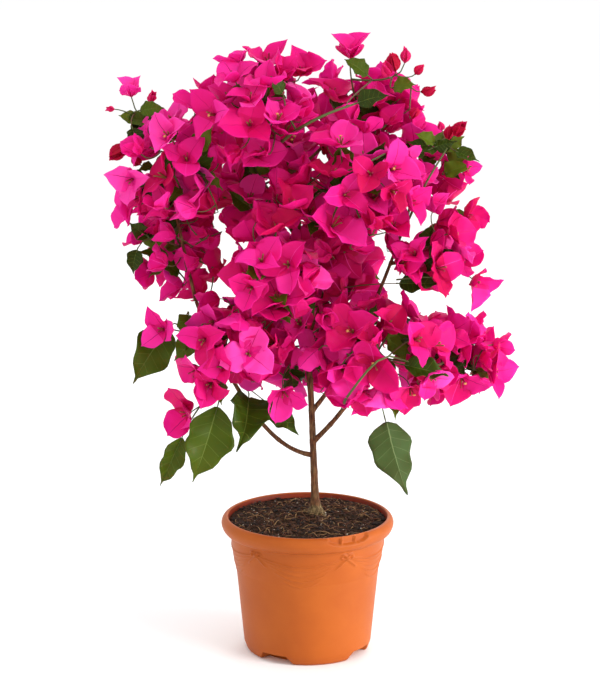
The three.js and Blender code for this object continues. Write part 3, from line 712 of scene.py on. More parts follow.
class Batch:
    """Points and faces gathered for one joined mesh. Each face has a material and may be flat."""

    def __init__(self):
        self.points, self.faces, self.looks = [], [], []
        self.count = 0

    def add(self, points, *groups):
        """Each group is its faces, as rows of places in points, their material, and if they are flat."""
        for faces, material, flat in groups:
            looks = np.zeros((len(faces), 2), np.int32)
            looks[:, 0] = material
            looks[:, 1] = flat
            self.faces.append(np.asarray(faces, np.int64) + self.count)
            self.looks.append(looks)
        self.points.append(np.asarray(points, float).reshape(-1, 3))
        self.count += len(self.points[-1])

    def build(self, name, materials, slot, *nodes):
        """Makes the mesh a piece that stands for some nodes, if any."""
        mesh = bpy.data.meshes.new(name)
        points = np.vstack(self.points) * MM
        sizes = np.concatenate([np.full(len(f), f.shape[1]) for f in self.faces])
        corners = np.concatenate([f.ravel() for f in self.faces])
        looks = np.vstack(self.looks)
        mesh.vertices.add(len(points))
        mesh.vertices.foreach_set("co", points.ravel())
        mesh.loops.add(len(corners))
        mesh.loops.foreach_set("vertex_index", corners)
        mesh.polygons.add(len(sizes))
        mesh.polygons.foreach_set("loop_start", np.concatenate([[0], np.cumsum(sizes)[:-1]]))
        mesh.polygons.foreach_set("material_index", looks[:, 0])
        mesh.polygons.foreach_set("use_smooth", looks[:, 1] == 0)
        for material in materials:
            mesh.materials.append(material)
        mesh.update(calc_edges=True)
        mesh.validate()
        piece = bpy.data.objects.new(name, mesh)
        bpy.context.scene.collection.objects.link(piece)
        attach(piece, "root")
        if nodes:
            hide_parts(*nodes)


def grid_faces(rows, columns, closed=False):
    """Quads of a grid of points, rows by columns. A closed one joins its last column to its first."""
    i, k = np.meshgrid(np.arange(rows - 1), np.arange(columns if closed else columns - 1), indexing="ij")
    near, far = i * columns, (i + 1) * columns
    after = (k + 1) % columns
    return np.stack([near + k, near + after, far + after, far + k], axis=-1).reshape(-1, 4)


def ring_faces(rings, sides):
    """Quads of a tube of rings, and the fans to two points that come after them and close its ends."""
    k = np.arange(sides)
    after = (k + 1) % sides
    start, last = rings * sides, (rings - 1) * sides
    first_fan = np.stack([np.full(sides, start), after, k], 1)
    last_fan = np.stack([np.full(sides, start + 1), last + k, last + after], 1)
    return grid_faces(rings, sides, closed=True), first_fan, last_fan


OFF_AXIS = (0.31, 0.9, 0.2)  # a direction that no tube starts along


def add_tube(batch, centres, radii, sides, material=0, relief=None):
    """Adds a closed tube round a line of places, whose rings are turned as little as may be."""
    centres = np.asarray(centres, float)
    ahead = unit(np.gradient(centres, axis=0))
    across = unit(np.cross(ahead[0], OFF_AXIS))
    angles = np.arange(sides) / sides * TURN
    rings = []
    for centre, direction, radius in zip(centres, ahead, radii):
        across = unit(across - direction * (across @ direction))
        beside = np.cross(direction, across)
        out = np.outer(np.cos(angles), across) + np.outer(np.sin(angles), beside)
        rings.append(centre + out * np.asarray(radius).reshape(-1, 1))
    rings = np.array(rings)
    if relief is not None:
        outward = unit(rings - centres[:, None])
        rings = rings + outward * relief(rings, centres)[..., None]
    points = np.vstack([rings.reshape(-1, 3), rings[0].mean(0), rings[-1].mean(0)])
    walls, *fans = ring_faces(len(centres), sides)
    batch.add(points, (walls, material, False), (np.vstack(fans), material, False))


# ---- blades: bracts, leaves and young bracts ----

THROAT_SHADE_SHARE = 0.3  # share of a blade's length, at its base, that takes its throat colour; in a bract this is one shade deeper, painted shade for the bloom's deep throat
VEIN = 0.004  # half a side vein's width, as a share of a blade's length
VEINS = (0.2, 0.34, 0.48, 0.62, 0.76)


def plain_rows(count):
    """Shares of a blade's length, closer together towards its ends."""
    even = np.linspace(0, 1, count + 1)
    return mix(even, (1 - np.cos(math.pi * even)) / 2, 0.45)


def veined_rows(between):
    """Shares of a blade's length, with a thin band for each side vein."""
    return np.sort([*between, *(vein - VEIN for vein in VEINS), *(vein + VEIN for vein in VEINS)])


# Where the points of each kind of blade lie: shares of its length, and of its half-width.
BRACT_GRID = (plain_rows(12), np.array([-1, -0.84, -0.58, -0.3, -0.028, 0.028, 0.3, 0.58, 0.84, 1]))
LEAF_GRID = (
    veined_rows((0, 0.06, 0.13, 0.27, 0.41, 0.55, 0.69, 0.83, 0.89, 0.94, 0.975, 1)),
    np.array([-1, -0.86, -0.64, -0.4, -0.18, -0.025, 0.025, 0.18, 0.4, 0.64, 0.86, 1]),
)
BUD_GRID = (plain_rows(7), np.array([-1, -0.6, -0.06, 0.06, 0.6, 1]))


def outline(shares, rise, fall, drip):
    """A blade's half-width along its length, as a share of the greatest. A higher rise starts it more
    slowly and moves its widest place towards the tip; a higher fall makes the body more pointed. The
    last part of its length, drip, is a slender tip.
    """
    widest = rise / (rise + fall)
    body = np.minimum(shares / (1 - drip), 1)
    tip = 0.02 + 0.09 * np.clip((1 - shares) / drip, 0, 1)
    return np.maximum((body / widest) ** rise * ((1 - body) / (1 - widest)) ** fall, tip)


def gather(looks, key):
    return np.array([look[key] for look in looks])


def blade_sheets(looks, rows, columns):
    """The two faces of many blades, as grids of points. Each is sunk along its midrib, arched along its
    length, wavy at its margins, and quilted and creased in between.
    """
    col = lambda key: gather(looks, key)[:, None, None]
    shares = rows[None, :, None]
    t = columns[None, None, :]
    off = np.abs(t)
    wide = outline(shares, col("rise"), col("fall"), col("drip"))
    lengths, bend, phase = col("length"), col("curl"), col("phase")
    s = shares - col("slant") * shares * (1 - shares) * (1 - off)
    straight = s * (1 - (bend * s) ** 2 / 6)
    arched = bend * s**2 / 2
    beat = TURN * (col("waves") * s + phase + 0.31 * np.sign(t))
    lift = (
        col("cup") * off**1.5 * wide
        + arched
        + col("wave") * off**2.5 * np.sin(beat) * np.sin(math.pi * np.clip(shares, 0, 1)) ** 0.5
        + col("quilt") * np.sin(TURN * (col("veins") * shares + phase)) * (1 - off**3) * wide
        + col("crease") * np.sin(TURN * (1.2 * t + 4 * phase)) * np.sin(TURN * (2.3 * s + t)) * wide
        - col("rib") * np.exp(-((t / 0.12) ** 2)) * (1 - shares)
    )
    uneven = 1 + col("skew") * np.sin(math.pi * shares) + col("lobes") * np.cos(beat)
    spread = t * col("half") * wide * uneven + col("sway") * lengths * s**2.5
    turn = col("twist") * s
    side = spread * np.cos(turn) - lift * lengths * np.sin(turn)
    rise = spread * np.sin(turn) + lift * lengths * np.cos(turn)
    front = gather(looks, "origin")[:, None, None]
    for key, shift in (("along", straight * lengths), ("side", side), ("up", rise)):
        front = front + gather(looks, key)[:, None, None] * shift[..., None]
    normals = unit(np.cross(np.gradient(front, axis=1), np.gradient(front, axis=2)))
    thick = (col("thick") * (0.45 + 0.55 * wide * (1 - 0.5 * off)))[..., None]
    return np.stack([front - normals * thick / 2, front + normals * thick / 2], axis=1)


def blade_zones(rows, columns):
    """What each quad of a blade's face is: 0 plain, 1 rib, 2 side vein or 3 throat, where a bract's pink is
    deepened as painted shade.
    """
    middles = np.abs(columns[:-1] + columns[1:]) / 2
    is_vein = ((np.diff(rows) < 3 * VEIN)[:, None] & (middles < 0.9)).ravel()
    is_rib = np.tile(middles < 0.01, len(rows) - 1)
    is_shaded_throat = np.repeat(rows[1:] < THROAT_SHADE_SHARE, len(columns) - 1)
    return np.select([is_rib, is_vein, is_shaded_throat], [1, 2, 3], 0)


def margin_faces(rows, columns):
    """Quads that join the edges of a grid of points to those of a like grid that comes after it."""
    layer = rows * columns
    k = np.arange(rows - 1) * columns
    left = np.stack([k, k + columns, k + columns + layer, k + layer], 1)
    right = (left + columns - 1)[:, ::-1]
    j = np.arange(columns - 1)
    low = np.stack([j + 1, j, j + layer, j + 1 + layer], 1)
    high = (low + layer - columns)[:, ::-1]
    return np.vstack([left, right, low, high])


def grow_blades(batch, looks, rows, columns):
    """Adds many blades at once, each a thin closed sheet. looks is a list of dictionaries, whose under
    and over give the materials of a side's plain faces, rib, side veins and throat; a bract's throat takes a
    deeper pink as painted shade.
    """
    if not looks:
        return
    under, over = gather(looks, "under"), gather(looks, "over")
    zones = blade_zones(rows, columns)
    quads = grid_faces(len(rows), len(columns))
    margin = margin_faces(len(rows), len(columns))
    layer = len(rows) * len(columns)
    offsets = (np.arange(len(looks)) * 2 * layer)[:, None, None]
    every = lambda faces: (faces + offsets).reshape(-1, 4)
    batch.add(
        blade_sheets(looks, rows, columns),
        (every(quads), under[:, zones].ravel(), False),
        (every(quads[:, [0, 3, 2, 1]] + layer), over[:, zones].ravel(), False),
        (every(margin), np.repeat(under[:, 0], len(margin)), True),
    )


# ---- foliage ----

# The masses of each part of the crown.
REGIONS = {
    "top": ("crown_left", "crown_right", "shoulder_left"),
    "upper": ("upper_left", "upper_right", "shoot_right"),
    "middle": ("flank_left", "heart", "middle", "flank_right"),
    "low": ("lower_left", "lower_middle", "lower_right", "far_right"),
}
KINDS = ("bracts", "leaves", "buds", "florets", "twigs")
SHADES = 6  # plain colours of the bracts, from the brightest to the deepest
RIB_SHADES = 3
LEAF_SHADES = 4
LEAF_BACK, LEAF_RIB, LEAF_RIB_BACK, LEAF_VEIN, LEAF_VEIN_BACK = range(LEAF_SHADES, LEAF_SHADES + 5)
BUD_SHADES = 3
TUBE_SHADES, STAR_SHADE = 2, 2
BROWN_TWIG, GREEN_TWIG = 0, 1

# How each kind of blade looks. A pair is a range that each blade draws a value from. half is a share of
# the blade's length, or for a leaf of its half-width in the source.
BRACT_FORM = {
    "half": (0.39, 0.47), "cup": (0.02, 0.36), "wave": (0.02, 0.085), "waves": (1.2, 2.8), "phase": (0, 1),
    "veins": 3.6, "quilt": 0.014, "crease": (0.006, 0.026), "rib": 0.035, "slant": 0.36,
    "skew": (-0.14, 0.14), "twist": (-0.6, 0.6), "thick": 0.34, "rise": (0.42, 0.52),
    "fall": (0.42, 0.85), "drip": 0.05, "lobes": (0, 0.05), "sway": (-0.09, 0.09),
}
LEAF_FORM = {
    "half": (0.95, 1.1), "cup": (0.04, 0.2), "curl": (-0.8, -0.1), "wave": (0.03, 0.06), "waves": (2, 3.4),
    "phase": (0, 1), "veins": 7.14, "quilt": 0.006, "crease": 0.008, "rib": 0.03, "slant": 0.62,
    "skew": (-0.1, 0.1), "twist": (-0.3, 0.3), "thick": 0.45, "rise": (0.55, 0.75), "fall": (0.8, 1.15),
    "drip": (0.07, 0.12), "lobes": (0.05, 0.11), "sway": (-0.12, 0.12),
}
BUD_FORM = {
    "half": (0.3, 0.38), "cup": (0.16, 0.26), "curl": (0.2, 0.9), "wave": 0.02, "waves": 1.5,
    "phase": (0, 1), "veins": 2, "quilt": 0.01, "crease": 0.01, "rib": 0.05, "slant": 0.36, "skew": 0,
    "twist": (-0.3, 0.3), "thick": 0.4, "rise": 0.6, "fall": 0.85, "drip": 0.05, "lobes": 0, "sway": 0,
}

# A leaf of more than this size takes one of the first two greens, and differs by these factors.
LARGE_LEAF = 1.25
LARGE_FACTORS = {"half": 0.89, "curl": 0.7, "wave": 1.5}
STALK = 0.08  # share of a leaf's length

# Radii from foot to tip.
STEM_RADII, COARSE_RADII, FINE_RADII = (1.5, 0.9), (1.15, 0.6), (0.85, 0.5)

FLORET_SHARES = np.array([0, 0.15, 0.4, 0.75, 0.93, 1])
FLORET_RADII = np.array([0.45, 0.75, 0.8, 0.6, 0.8, 0.65])
STAR_RADII = np.where(np.arange(10) % 2, 1.0, 2.1)


def three_ways(bloom, uneven, draw):
    """A bloom's axis and, one after another, three directions out of it, a little uneven."""
    u, v, n = axes_along(bloom["facing"], bloom["turn"])
    for k in range(3):
        yield n, turned(u, v, k * TURN / 3 + mix(-uneven, uneven, draw()))


def blade_look(form, origin, axes, length, width, draw):
    """A blade of a form, with its own values out of the form's ranges."""
    look = {key: mix(*value, draw()) if isinstance(value, tuple) else value for key, value in form.items()}
    look.update(zip(("along", "side", "up"), axes), origin=origin, length=length, half=look["half"] * width)
    return look


def bract_looks(bloom, shade, draw):
    """The three bracts of a bloom, each a little unlike the others."""
    looks = []
    for n, out in three_ways(bloom, 0.03 * TURN, draw):
        curl = mix(-1.3, 0.8, draw())
        opening = bloom["opening"] + 0.45 * curl + mix(-0.12, 0.12, draw())
        length = BRACT["length"] * bloom["size"] * mix(0.9, 1.04, draw())
        tone = int(np.clip(shade + (draw() > 0.7) - (draw() > 0.75), 0, SHADES - 1))
        face = max(tone - 1, 0) if draw() > 0.5 else tone
        # Painted shade: the base of each bract takes the next deeper pink, for the shade that falls in the
        # bloom's deep throat.
        throat_shade = min(tone + 1, SHADES - 1)
        origin = bloom["place"] + out * 0.9 + n * 0.4
        look = blade_look(BRACT_FORM, origin, leaned(n, out, opening), length, length, draw)
        look["curl"] = curl
        look["under"] = tone, SHADES + int(draw() * RIB_SHADES), tone, throat_shade
        look["over"] = face, SHADES + int(draw() ** 1.3 * RIB_SHADES), face, throat_shade
        looks.append(look)
    return looks


def leaf_look(leaf, draw):
    axes = blade_axes(leaf["facing"], leaf["normal"])
    length = LEAF["length"] * leaf["size"]
    width = length * LEAF["half"] * leaf["narrow"]
    large = leaf["size"] > LARGE_LEAF
    shade = int(draw() * (LEAF_SHADES / 2 if large else LEAF_SHADES))
    origin = leaf["place"] + axes[0] * STALK * length
    look = blade_look(LEAF_FORM, origin, axes, length * (1 - STALK), width, draw)
    if large:
        for key, factor in LARGE_FACTORS.items():
            look[key] *= factor
    look["under"] = LEAF_BACK, LEAF_RIB_BACK, LEAF_VEIN_BACK, LEAF_BACK
    look["over"] = shade, LEAF_RIB, LEAF_VEIN, shade
    return look


def bud_looks(bud, draw):
    """Three young bracts that are still folded together."""
    looks = []
    shade = int(draw() * BUD_SHADES)
    for n, out in three_ways(bud, 0.08 * TURN / 3, draw):
        axes = leaned(n, out, mix(0.2, 0.42, draw()))
        length = BUD["length"] * bud["size"] * mix(0.85, 1.1, draw())
        look = blade_look(BUD_FORM, bud["place"] + out * 0.5, axes, length, length, draw)
        look["under"] = look["over"] = (shade,) * 4
        looks.append(look)
    return looks


def add_florets(batch, bloom, draw):
    """The slender tubes of the three true flowers, one at each bract. Now and then one has opened."""
    for n, out in three_ways(bloom, 0.2, draw):
        length = mix(9, 14, draw()) * min(bloom["size"], 1)
        aside = FLORET_SHARES**1.6 * length * mix(0.1, 0.34, draw()) + 0.7
        centres = bloom["place"] + np.outer(FLORET_SHARES * length, n) + np.outer(aside, out)
        is_open = draw() < 0.05
        rings = 5 if is_open else 6
        add_tube(batch, centres[:rings], FLORET_RADII[:rings], 6, int(draw() * TUBE_SHADES))
        if is_open:
            disc = centres[4] + np.outer((0, 0.5, 0.9), n)
            add_tube(batch, disc, [np.full(10, 0.7), STAR_RADII, STAR_RADII * 0.8], 10, STAR_SHADE)


def add_twig(batch, curve, radii, sides, rings, material):
    shares = np.linspace(0, 1, rings)
    add_tube(batch, curve.at(shares), mix(*radii, shares), sides, material)


def add_stalk(batch, look):
    """A leaf's stalk, which goes on a little way under its blade."""
    steps = np.linspace(-0.09, 0.1, 3) * look["length"]
    add_tube(batch, look["origin"] + np.outer(steps, look["along"]), (0.8, 0.6, 0.3), 5, GREEN_TWIG)


def grow_foliage(masses):
    """Meshes of each kind, gathered by the part of the crown that they belong to."""
    kinds = {kind: {region: Batch() for region in REGIONS} for kind in KINDS}
    region_of = {name: region for region, names in REGIONS.items() for name in names}
    for mass in masses:
        draw = stream(mass.seed * 31 + 5)
        batches = {kind: regions[region_of[mass.name]] for kind, regions in kinds.items()}
        add_twig(batches["twigs"], mass.stem, STEM_RADII, 7, 10, BROWN_TWIG)
        for curve, fine in mass.twigs:
            wood = GREEN_TWIG if draw() > 0.35 else BROWN_TWIG
            add_twig(batches["twigs"], curve, FINE_RADII if fine else COARSE_RADII, 5, 7, wood)
        bracts, leaves, buds = [], [], []
        mood = mix(-0.7, 0.9, draw())
        for grown in mass.grown:
            if grown["kind"] == "bloom":
                shade = int(np.clip(round(mix(0, SHADES - 1, (draw() + draw()) / 2) + mood), 0, SHADES - 1))
                bracts += bract_looks(grown, shade, draw)
                add_florets(batches["florets"], grown, draw)
            elif grown["kind"] == "leaf":
                leaves.append(leaf_look(grown, draw))
                add_stalk(batches["twigs"], leaves[-1])
            else:
                buds += bud_looks(grown, draw)
        grow_blades(batches["bracts"], bracts, *BRACT_GRID)
        grow_blades(batches["leaves"], leaves, *LEAF_GRID)
        grow_blades(batches["buds"], buds, *BUD_GRID)
    for places, radii in SHOOTS:
        add_twig(kinds["twigs"]["upper"], spline(places), radii, 7, 14, GREEN_TWIG)
    return kinds


# ---- bark ----

RING_STEP = 31  # from one swollen ring to the next
ROOTS = 7


def bark_relief(seed, depth):
    """Shallow furrows along the limb, swollen rings where leaves once grew, and a fine roughness."""

    def relief(points, centres):
        along = np.broadcast_to(travelled(centres)[:, None], points.shape[:2])
        around = unit(points - centres[:, None])
        x, y, z = np.moveaxis(around, -1, 0)
        furrows = noise(around * 2.6 + seed, seed)
        streaks = noise(np.stack([5 * x, 5 * y + 5 * z, 0.16 * along], -1), seed)
        rough = noise(points * 0.9, seed + 1)
        knobs = np.maximum(noise(np.stack([1.3 * x, 1.3 * z, 0.03 * along], -1), seed + 2), 0)
        from_ring = (along + seed * 7) % RING_STEP - RING_STEP // 2
        rings = np.exp(-((from_ring / 2.2) ** 2)) * (0.5 + 1.2 * knobs)
        return depth * (0.5 * furrows + 0.45 * streaks + 0.22 * rough + rings)

    return relief


def grow_bark(limbs):
    batch = Batch()
    for seed, (name, limb) in enumerate(limbs.items()):
        is_trunk = name == "trunk"
        step, sides, depth = (1.3, 30, 0.42) if is_trunk else (1.8, 16, 0.3)
        length = limb.curve.length
        shares = np.linspace(0, 1, int(length / step))
        swelling = 0 if is_trunk else 0.45 * np.exp(-shares * length / 5)
        radii = limb.radius(shares) * (1 + swelling)
        add_tube(batch, limb.curve.at(shares), radii, sides, relief=bark_relief(seed, depth))
    return batch


def grow_roots(batch, trunk):
    """The pale, knuckled root crown that shows at the foot of the trunk."""
    draw = stream(77)
    tall, rings = 15, 18
    heights = np.linspace(0, tall, rings)
    shares = heights / trunk.curve.length
    collar = trunk.radius(shares) + np.sin(math.pi * (heights / tall) ** 0.8) - 0.1
    add_tube(batch, trunk.curve.at(shares), collar, 30, material=1, relief=bark_relief(50, 0.9))
    foot = np.array([8.2, 0, SOIL["top"] + 1.5])
    for k in range(ROOTS):
        angle = k * TURN / ROOTS + mix(-0.3, 0.3, draw())
        reach = mix(11, 21, draw())
        out = np.array([math.cos(angle), math.sin(angle), 0])
        bend = foot + out * reach * 0.6 + (0, 0, 0.6)
        curve = bezier(foot + out * 2, bend, foot + out * reach - (0, 0, 5))
        shares = np.linspace(0, 1, 12)
        radii = mix(3.0, 0.9, shares**0.7)
        add_tube(batch, curve.at(shares), radii, 12, material=1, relief=bark_relief(60 + k, 0.6))


# ---- pot ----

POT_SIDES = 480
HEEL_SPAN = 14  # the foot's outline is raised over a vent, less and less up to this height
FLOOR = 12  # height of the inner floor

VENT_SLOPE = 6.6  # degrees over which a vent rises to its full height

# The label slot in the rim: how far its back and its plain ribs stand from the mouth and from the rim,
# and how far the ribs end below the top. Its floor curves up at its ends.
GRIP = {"angle": 29, "width": 31, "depth": 6.8, "ribs": 2, "back": 1.6, "rib_inset": 2.4, "rib_drop": 1.6,
        "curve": 4.5}

# The garland: its first bow's place and the width of a swag in degrees, the radius that it lies on,
# and where it starts. Each cord has its height at the bows and halfway, its reach and its relief.
SWAGS = {"first": 30.5, "width": 72, "radius": 74, "above": 70}
CORDS = ((112, 105.5, 0.97, 1.1), (109, 101, 0.86, 0.6), (105, 95.5, 0.74, 0.6), (99, 89.5, 0.62, 0.9),
         (91, 83, 0.46, 0.7))
# Middle and half-width of a bow's two loops and of its knot, round the wall and up.
LOOP, KNOT = (3.7, 113, 3.1, 2.5), (0, 111.2, 1.6, 1.9)
TAILS = {"top": 110, "length": 10, "apart": 1.2, "splay": 1.15}


def pot_rows():
    """The pot's outline as radius and height: underside, foot, wall, rim, and inner wall and floor."""
    top, rim, base, neck = POT["height"], POT["rim"], POT["base"], POT["neck"]
    wall_heights = np.concatenate([np.arange(12, 76, 4.0), np.arange(77, POT["neck_height"], 0.6)])
    corners = [(POT["heel"], POT["heel_height"]), (POT["waist"], POT["waist_height"] - 2),
               (POT["waist"] + 0.5, POT["waist_height"]), (POT["shoulder"] - 0.3, POT["shoulder_height"]),
               (POT["shoulder"], POT["shoulder_height"] + 1.5), (neck, POT["neck_height"])]
    radii = np.interp(wall_heights, [z for _, z in corners], [r for r, _ in corners])
    notch = base - VENT["depth"]
    under = [(20, 0), (notch - 0.8, 0), (notch, 0)]
    foot = [(base - 1, 0), (base, 0.3), (base + 1.2, 1.1), (base + 2.2, 2.4), (61.6, 5), (62.6, 7.6),
            (POT["heel"], POT["heel_height"])]
    lip = [(neck, POT["neck_height"]), (76.5, 118.4), (76.9, 119.1), (78.2, 119.5), (79.8, 120.1),
           (81.4, 121.1), (82.7, 122.5), (83.7, 124.2)]
    rolled = [
        (rim - 0.6, 126), (rim - 0.2, 127.4), (rim, 128.7), (rim, 129.6),
        (rim - 0.1, 130.4), (rim - 0.3, 131.2), (rim - 0.6, 132), (rim - 1, 132.8), (rim - 1.4, 133.5),
        (rim - 2, 134.3), (rim - 2.8, 135), (rim - 3.6, 135.5), (rim - 4.4, 135.85), (rim - 5.2, top),
        (POT["mouth"] + 0.8, top), (POT["mouth"] + 0.25, top - 0.3), (POT["mouth"], top - 1)]
    thick = POT["wall"]
    inside = [(78.1, 133), (77.4, 130), (neck - thick, POT["neck_height"]),
              (POT["waist"] - thick, POT["waist_height"]), (POT["heel"] - thick, FLOOR + 4),
              (base - thick - 4, FLOOR), (20, FLOOR)]
    return under, foot, list(zip(radii, wall_heights)), lip + rolled, inside


def degrees_from(angles, middle):
    """How far each angle lies from a middle one, from -180 to 180."""
    return (np.degrees(angles) - middle + 180) % 360 - 180


def ridge(distance, width):
    return np.exp(-((distance / width) ** 2))


def swag_relief(angle, z):
    """A common garland in low relief: cords that sag from bow to bow, and the bows' loops and tails."""
    phase = (degrees_from(angle, SWAGS["first"]) / SWAGS["width"]) % 1
    u = np.abs(2 * phase - 1)
    relief = np.zeros_like(z)
    for ends, middle, reach, tall in CORDS:
        line = middle + (ends - middle) * (u / reach) ** 1.7
        relief += tall * smooth(reach, reach - 0.12, u) * ridge(z - line, 0.7)
    x = np.abs(np.radians(np.where(phase > 0.5, phase - 1, phase) * SWAGS["width"]) * SWAGS["radius"])
    loop, knot = (np.hypot((x - cx) / wide, (z - cz) / high) for cx, cz, wide, high in (LOOP, KNOT))
    relief += 1.6 * ridge(np.abs(loop - 0.8), 0.3)
    relief += 1.7 * smooth(1.25, 0.7, knot)
    down = TAILS["top"] - z
    ends = (down > 0) * smooth(TAILS["length"], 7, down)
    relief += 1.4 * ends * ridge(x - TAILS["apart"] - TAILS["splay"] * down, 1.3)
    return relief * (z > SWAGS["above"])


def vent_height(angle):
    """How high the vents are cut at an angle."""
    tall = np.zeros_like(angle)
    for k in range(VENT["count"]):
        off = np.abs(degrees_from(angle, VENT["angle"] + k * 360 / VENT["count"]))
        tall = np.maximum(tall, VENT["height"] * np.clip((VENT["width"] / 2 - off) / VENT_SLOPE, 0, 1))
    return tall


def grip_depth(angle, r, z):
    """The radius in and round the label slot, with its ribs."""
    off = degrees_from(angle, GRIP["angle"])
    half = GRIP["width"] / 2
    floor = POT["height"] - GRIP["depth"] - 0.6 + GRIP["curve"] * np.abs(off / half) ** 4
    inside = smooth(0, 0.9, half - np.abs(off)) * smooth(-0.4, 0.4, z - floor)
    slot = np.minimum(r, mix(r, POT["mouth"] + GRIP["back"], inside))
    for k in range(GRIP["ribs"]):
        rib = GRIP["angle"] + ((k + 1) / (GRIP["ribs"] + 1) - 0.5) * GRIP["width"]
        near = smooth(1.0, 0.5, np.abs(degrees_from(angle, rib))) * (z < POT["height"] - GRIP["rib_drop"])
        ribbed = mix(slot, POT["rim"] - GRIP["rib_inset"], near * (inside > 0.5))
        slot = np.maximum(slot, np.minimum(r, ribbed))
    return slot


def make_pot():
    under, foot, wall, rim, inside = pot_rows()
    angles = np.arange(POT_SIDES) / POT_SIDES * TURN
    even = np.ones(POT_SIDES)
    radii, heights = zip(*foot, *wall)
    tall = vent_height(angles)
    rows = []
    for r, z in under + foot:
        if z == 0:
            share = max(1 - (POT["base"] - r) / VENT["depth"], 0)
            outward = np.interp(tall, heights, radii) - POT["base"]
            rows.append((r + outward * share, tall * (r >= POT["base"] - VENT["depth"])))
        else:
            lifted = z + tall * (1 - z / HEEL_SPAN)
            rows.append((np.interp(lifted, heights, radii), lifted))
    for r, z in wall:
        lifted = z + tall * max(1 - z / HEEL_SPAN, 0)
        rows.append((r + swag_relief(angles, lifted), lifted))
    rows += [(grip_depth(angles, r * even, z), z * even) for r, z in rim]
    outer_rows = len(rows)
    rows += [(r * even, z * even) for r, z in inside]
    grid = np.array([[r * np.sin(angles), -r * np.cos(angles), z] for r, z in rows]).transpose(0, 2, 1)
    walls, bottom, floor = ring_faces(len(rows), POT_SIDES)
    outer, inner = np.split(walls, [(outer_rows - 1) * POT_SIDES])
    batch = Batch()
    # The inner wall and floor take the darker inside material, partly for dirt and partly as painted shade
    # inside the pot.
    batch.add(
        np.vstack([grid.reshape(-1, 3), (0, 0, 0), (0, 0, FLOOR)]),
        (outer, 0, False), (inner, 1, False), (bottom, 0, False), (floor, 1, False),
    )
    return batch


# ---- soil ----

CRUMBS, FIBRES = 1500, 620
CRUMB_REACH, FIBRE_REACH, WALL_REACH = 75.5, 73, 76  # from the pot's axis
CRUMB_SHADES, FIBRE_SHADES = 3, 3
SPECK_SHADE, FIRST_FIBRE_SHADE = 3, 4

# A crumb is a lumpy icosahedron.
GOLDEN = (1 + 5**0.5) / 2
CRUMB = unit([np.roll((a, b, 0), k) for k in range(3) for b in (GOLDEN, -GOLDEN) for a in (-1, 1)])
CRUMB_FACES = [(0, 11, 5), (0, 5, 1), (0, 1, 7), (0, 7, 10), (0, 10, 11), (1, 5, 9), (5, 11, 4), (11, 10, 2),
               (10, 7, 6), (7, 1, 8), (3, 9, 4), (3, 4, 2), (3, 2, 6), (3, 6, 8), (3, 8, 9), (4, 9, 5),
               (2, 4, 11), (6, 2, 10), (8, 6, 7), (9, 8, 1)]


def soil_height(x, y):
    r = np.hypot(x, y)
    mound = mix(SOIL["top"], SOIL["edge"] + 1, smooth(10, 76, r) ** 0.8)
    spot = np.stack([x, y, np.zeros_like(x)], -1)
    lumps = 1.5 * noise(spot / 11, 3) + 1.0 * noise(spot / 5, 4) + 0.7 * noise(spot / 2.2, 5)
    return mound + lumps * smooth(78, 70, r) + 0.4 * noise(spot / 1.1, 6)


def make_soil():
    """The mound of peat, down to where the pot's wall hides it."""
    sides, bottom = 150, 117
    angles = np.arange(sides) / sides * TURN
    ring = lambda r: (r * np.cos(angles), r * np.sin(angles))
    rows = [(*ring(r), soil_height(*ring(r))) for r in np.linspace(1.2, 77.1, 56)]
    rows += [(*ring(r), np.full(sides, z)) for r, z in ((75.4, 124), (73.6, bottom))]
    grid = np.array(rows).transpose(0, 2, 1)
    middle = (0, 0, float(soil_height(np.zeros(1), np.zeros(1))[0]))
    batch = Batch()
    batch.add(
        np.vstack([grid.reshape(-1, 3), middle, (0, 0, bottom)]),
        *((faces[:, ::-1], 0, False) for faces in ring_faces(len(rows), sides)),
    )
    return batch


def add_crumb(batch, draw, is_pale):
    r, angle = CRUMB_REACH * math.sqrt(draw()), draw() * TURN
    spot = np.array([[r * math.cos(angle), r * math.sin(angle)]])
    size = mix(0.5, 1.1, draw()) if is_pale else mix(0.6, 2.4, draw() ** 2)
    shape = CRUMB * np.array([[mix(0.6, 1.3, draw())] for _ in CRUMB])
    shape = shape * (mix(0.7, 1.5, draw()), mix(0.6, 1.2, draw()), mix(0.5, 0.9, draw())) * size
    place = (*spot[0], soil_height(*spot.T)[0] + 0.35 * size)
    shade = SPECK_SHADE if is_pale else int(draw() * CRUMB_SHADES)
    batch.add(shape + place, (CRUMB_FACES, shade, not is_pale))


def add_fibre(batch, draw):
    """A bowed fibre that follows the soil in part. One that would pass the pot's wall is left out."""
    r, angle = FIBRE_REACH * math.sqrt(draw()), draw() * TURN
    spot = np.array([r * math.cos(angle), r * math.sin(angle)])
    turn = draw() * TURN
    length = mix(4, 20, draw() ** 1.5)
    way = np.array([math.cos(turn), math.sin(turn)])
    bow = np.array([-way[1], way[0]]) * mix(-0.14, 0.14, draw()) * length
    shares = np.linspace(-0.5, 0.5, 6)
    flat = spot + np.outer(shares * length, way) + np.outer(shares**2 * 4, bow)
    z = soil_height(*flat.T) * 0.6 + 0.4 * soil_height(*spot[:, None])[0]
    lift = 0.7 + mix(-0.4, 2.2, draw() ** 2) * (1 - 4 * shares**2) + mix(-0.5, 1.5, draw()) * shares
    if np.hypot(*flat.T).max() >= WALL_REACH:
        return
    radii = mix(0.18, 0.5, draw()) * np.array([0.5, 1, 1.1, 1, 0.9, 0.4])
    shade = FIRST_FIBRE_SHADE + int(draw() * FIBRE_SHADES)
    add_tube(batch, np.column_stack([flat, z + lift]), radii, 4, shade)


def make_litter():
    """Crumbs of peat, pale specks and fibres that lie on the soil."""
    draw = stream(404)
    batch = Batch()
    for k in range(CRUMBS):
        add_crumb(batch, draw, is_pale=k % 17 == 0)
    for _ in range(FIBRES):
        add_fibre(batch, draw)
    return batch


# ---- materials ----

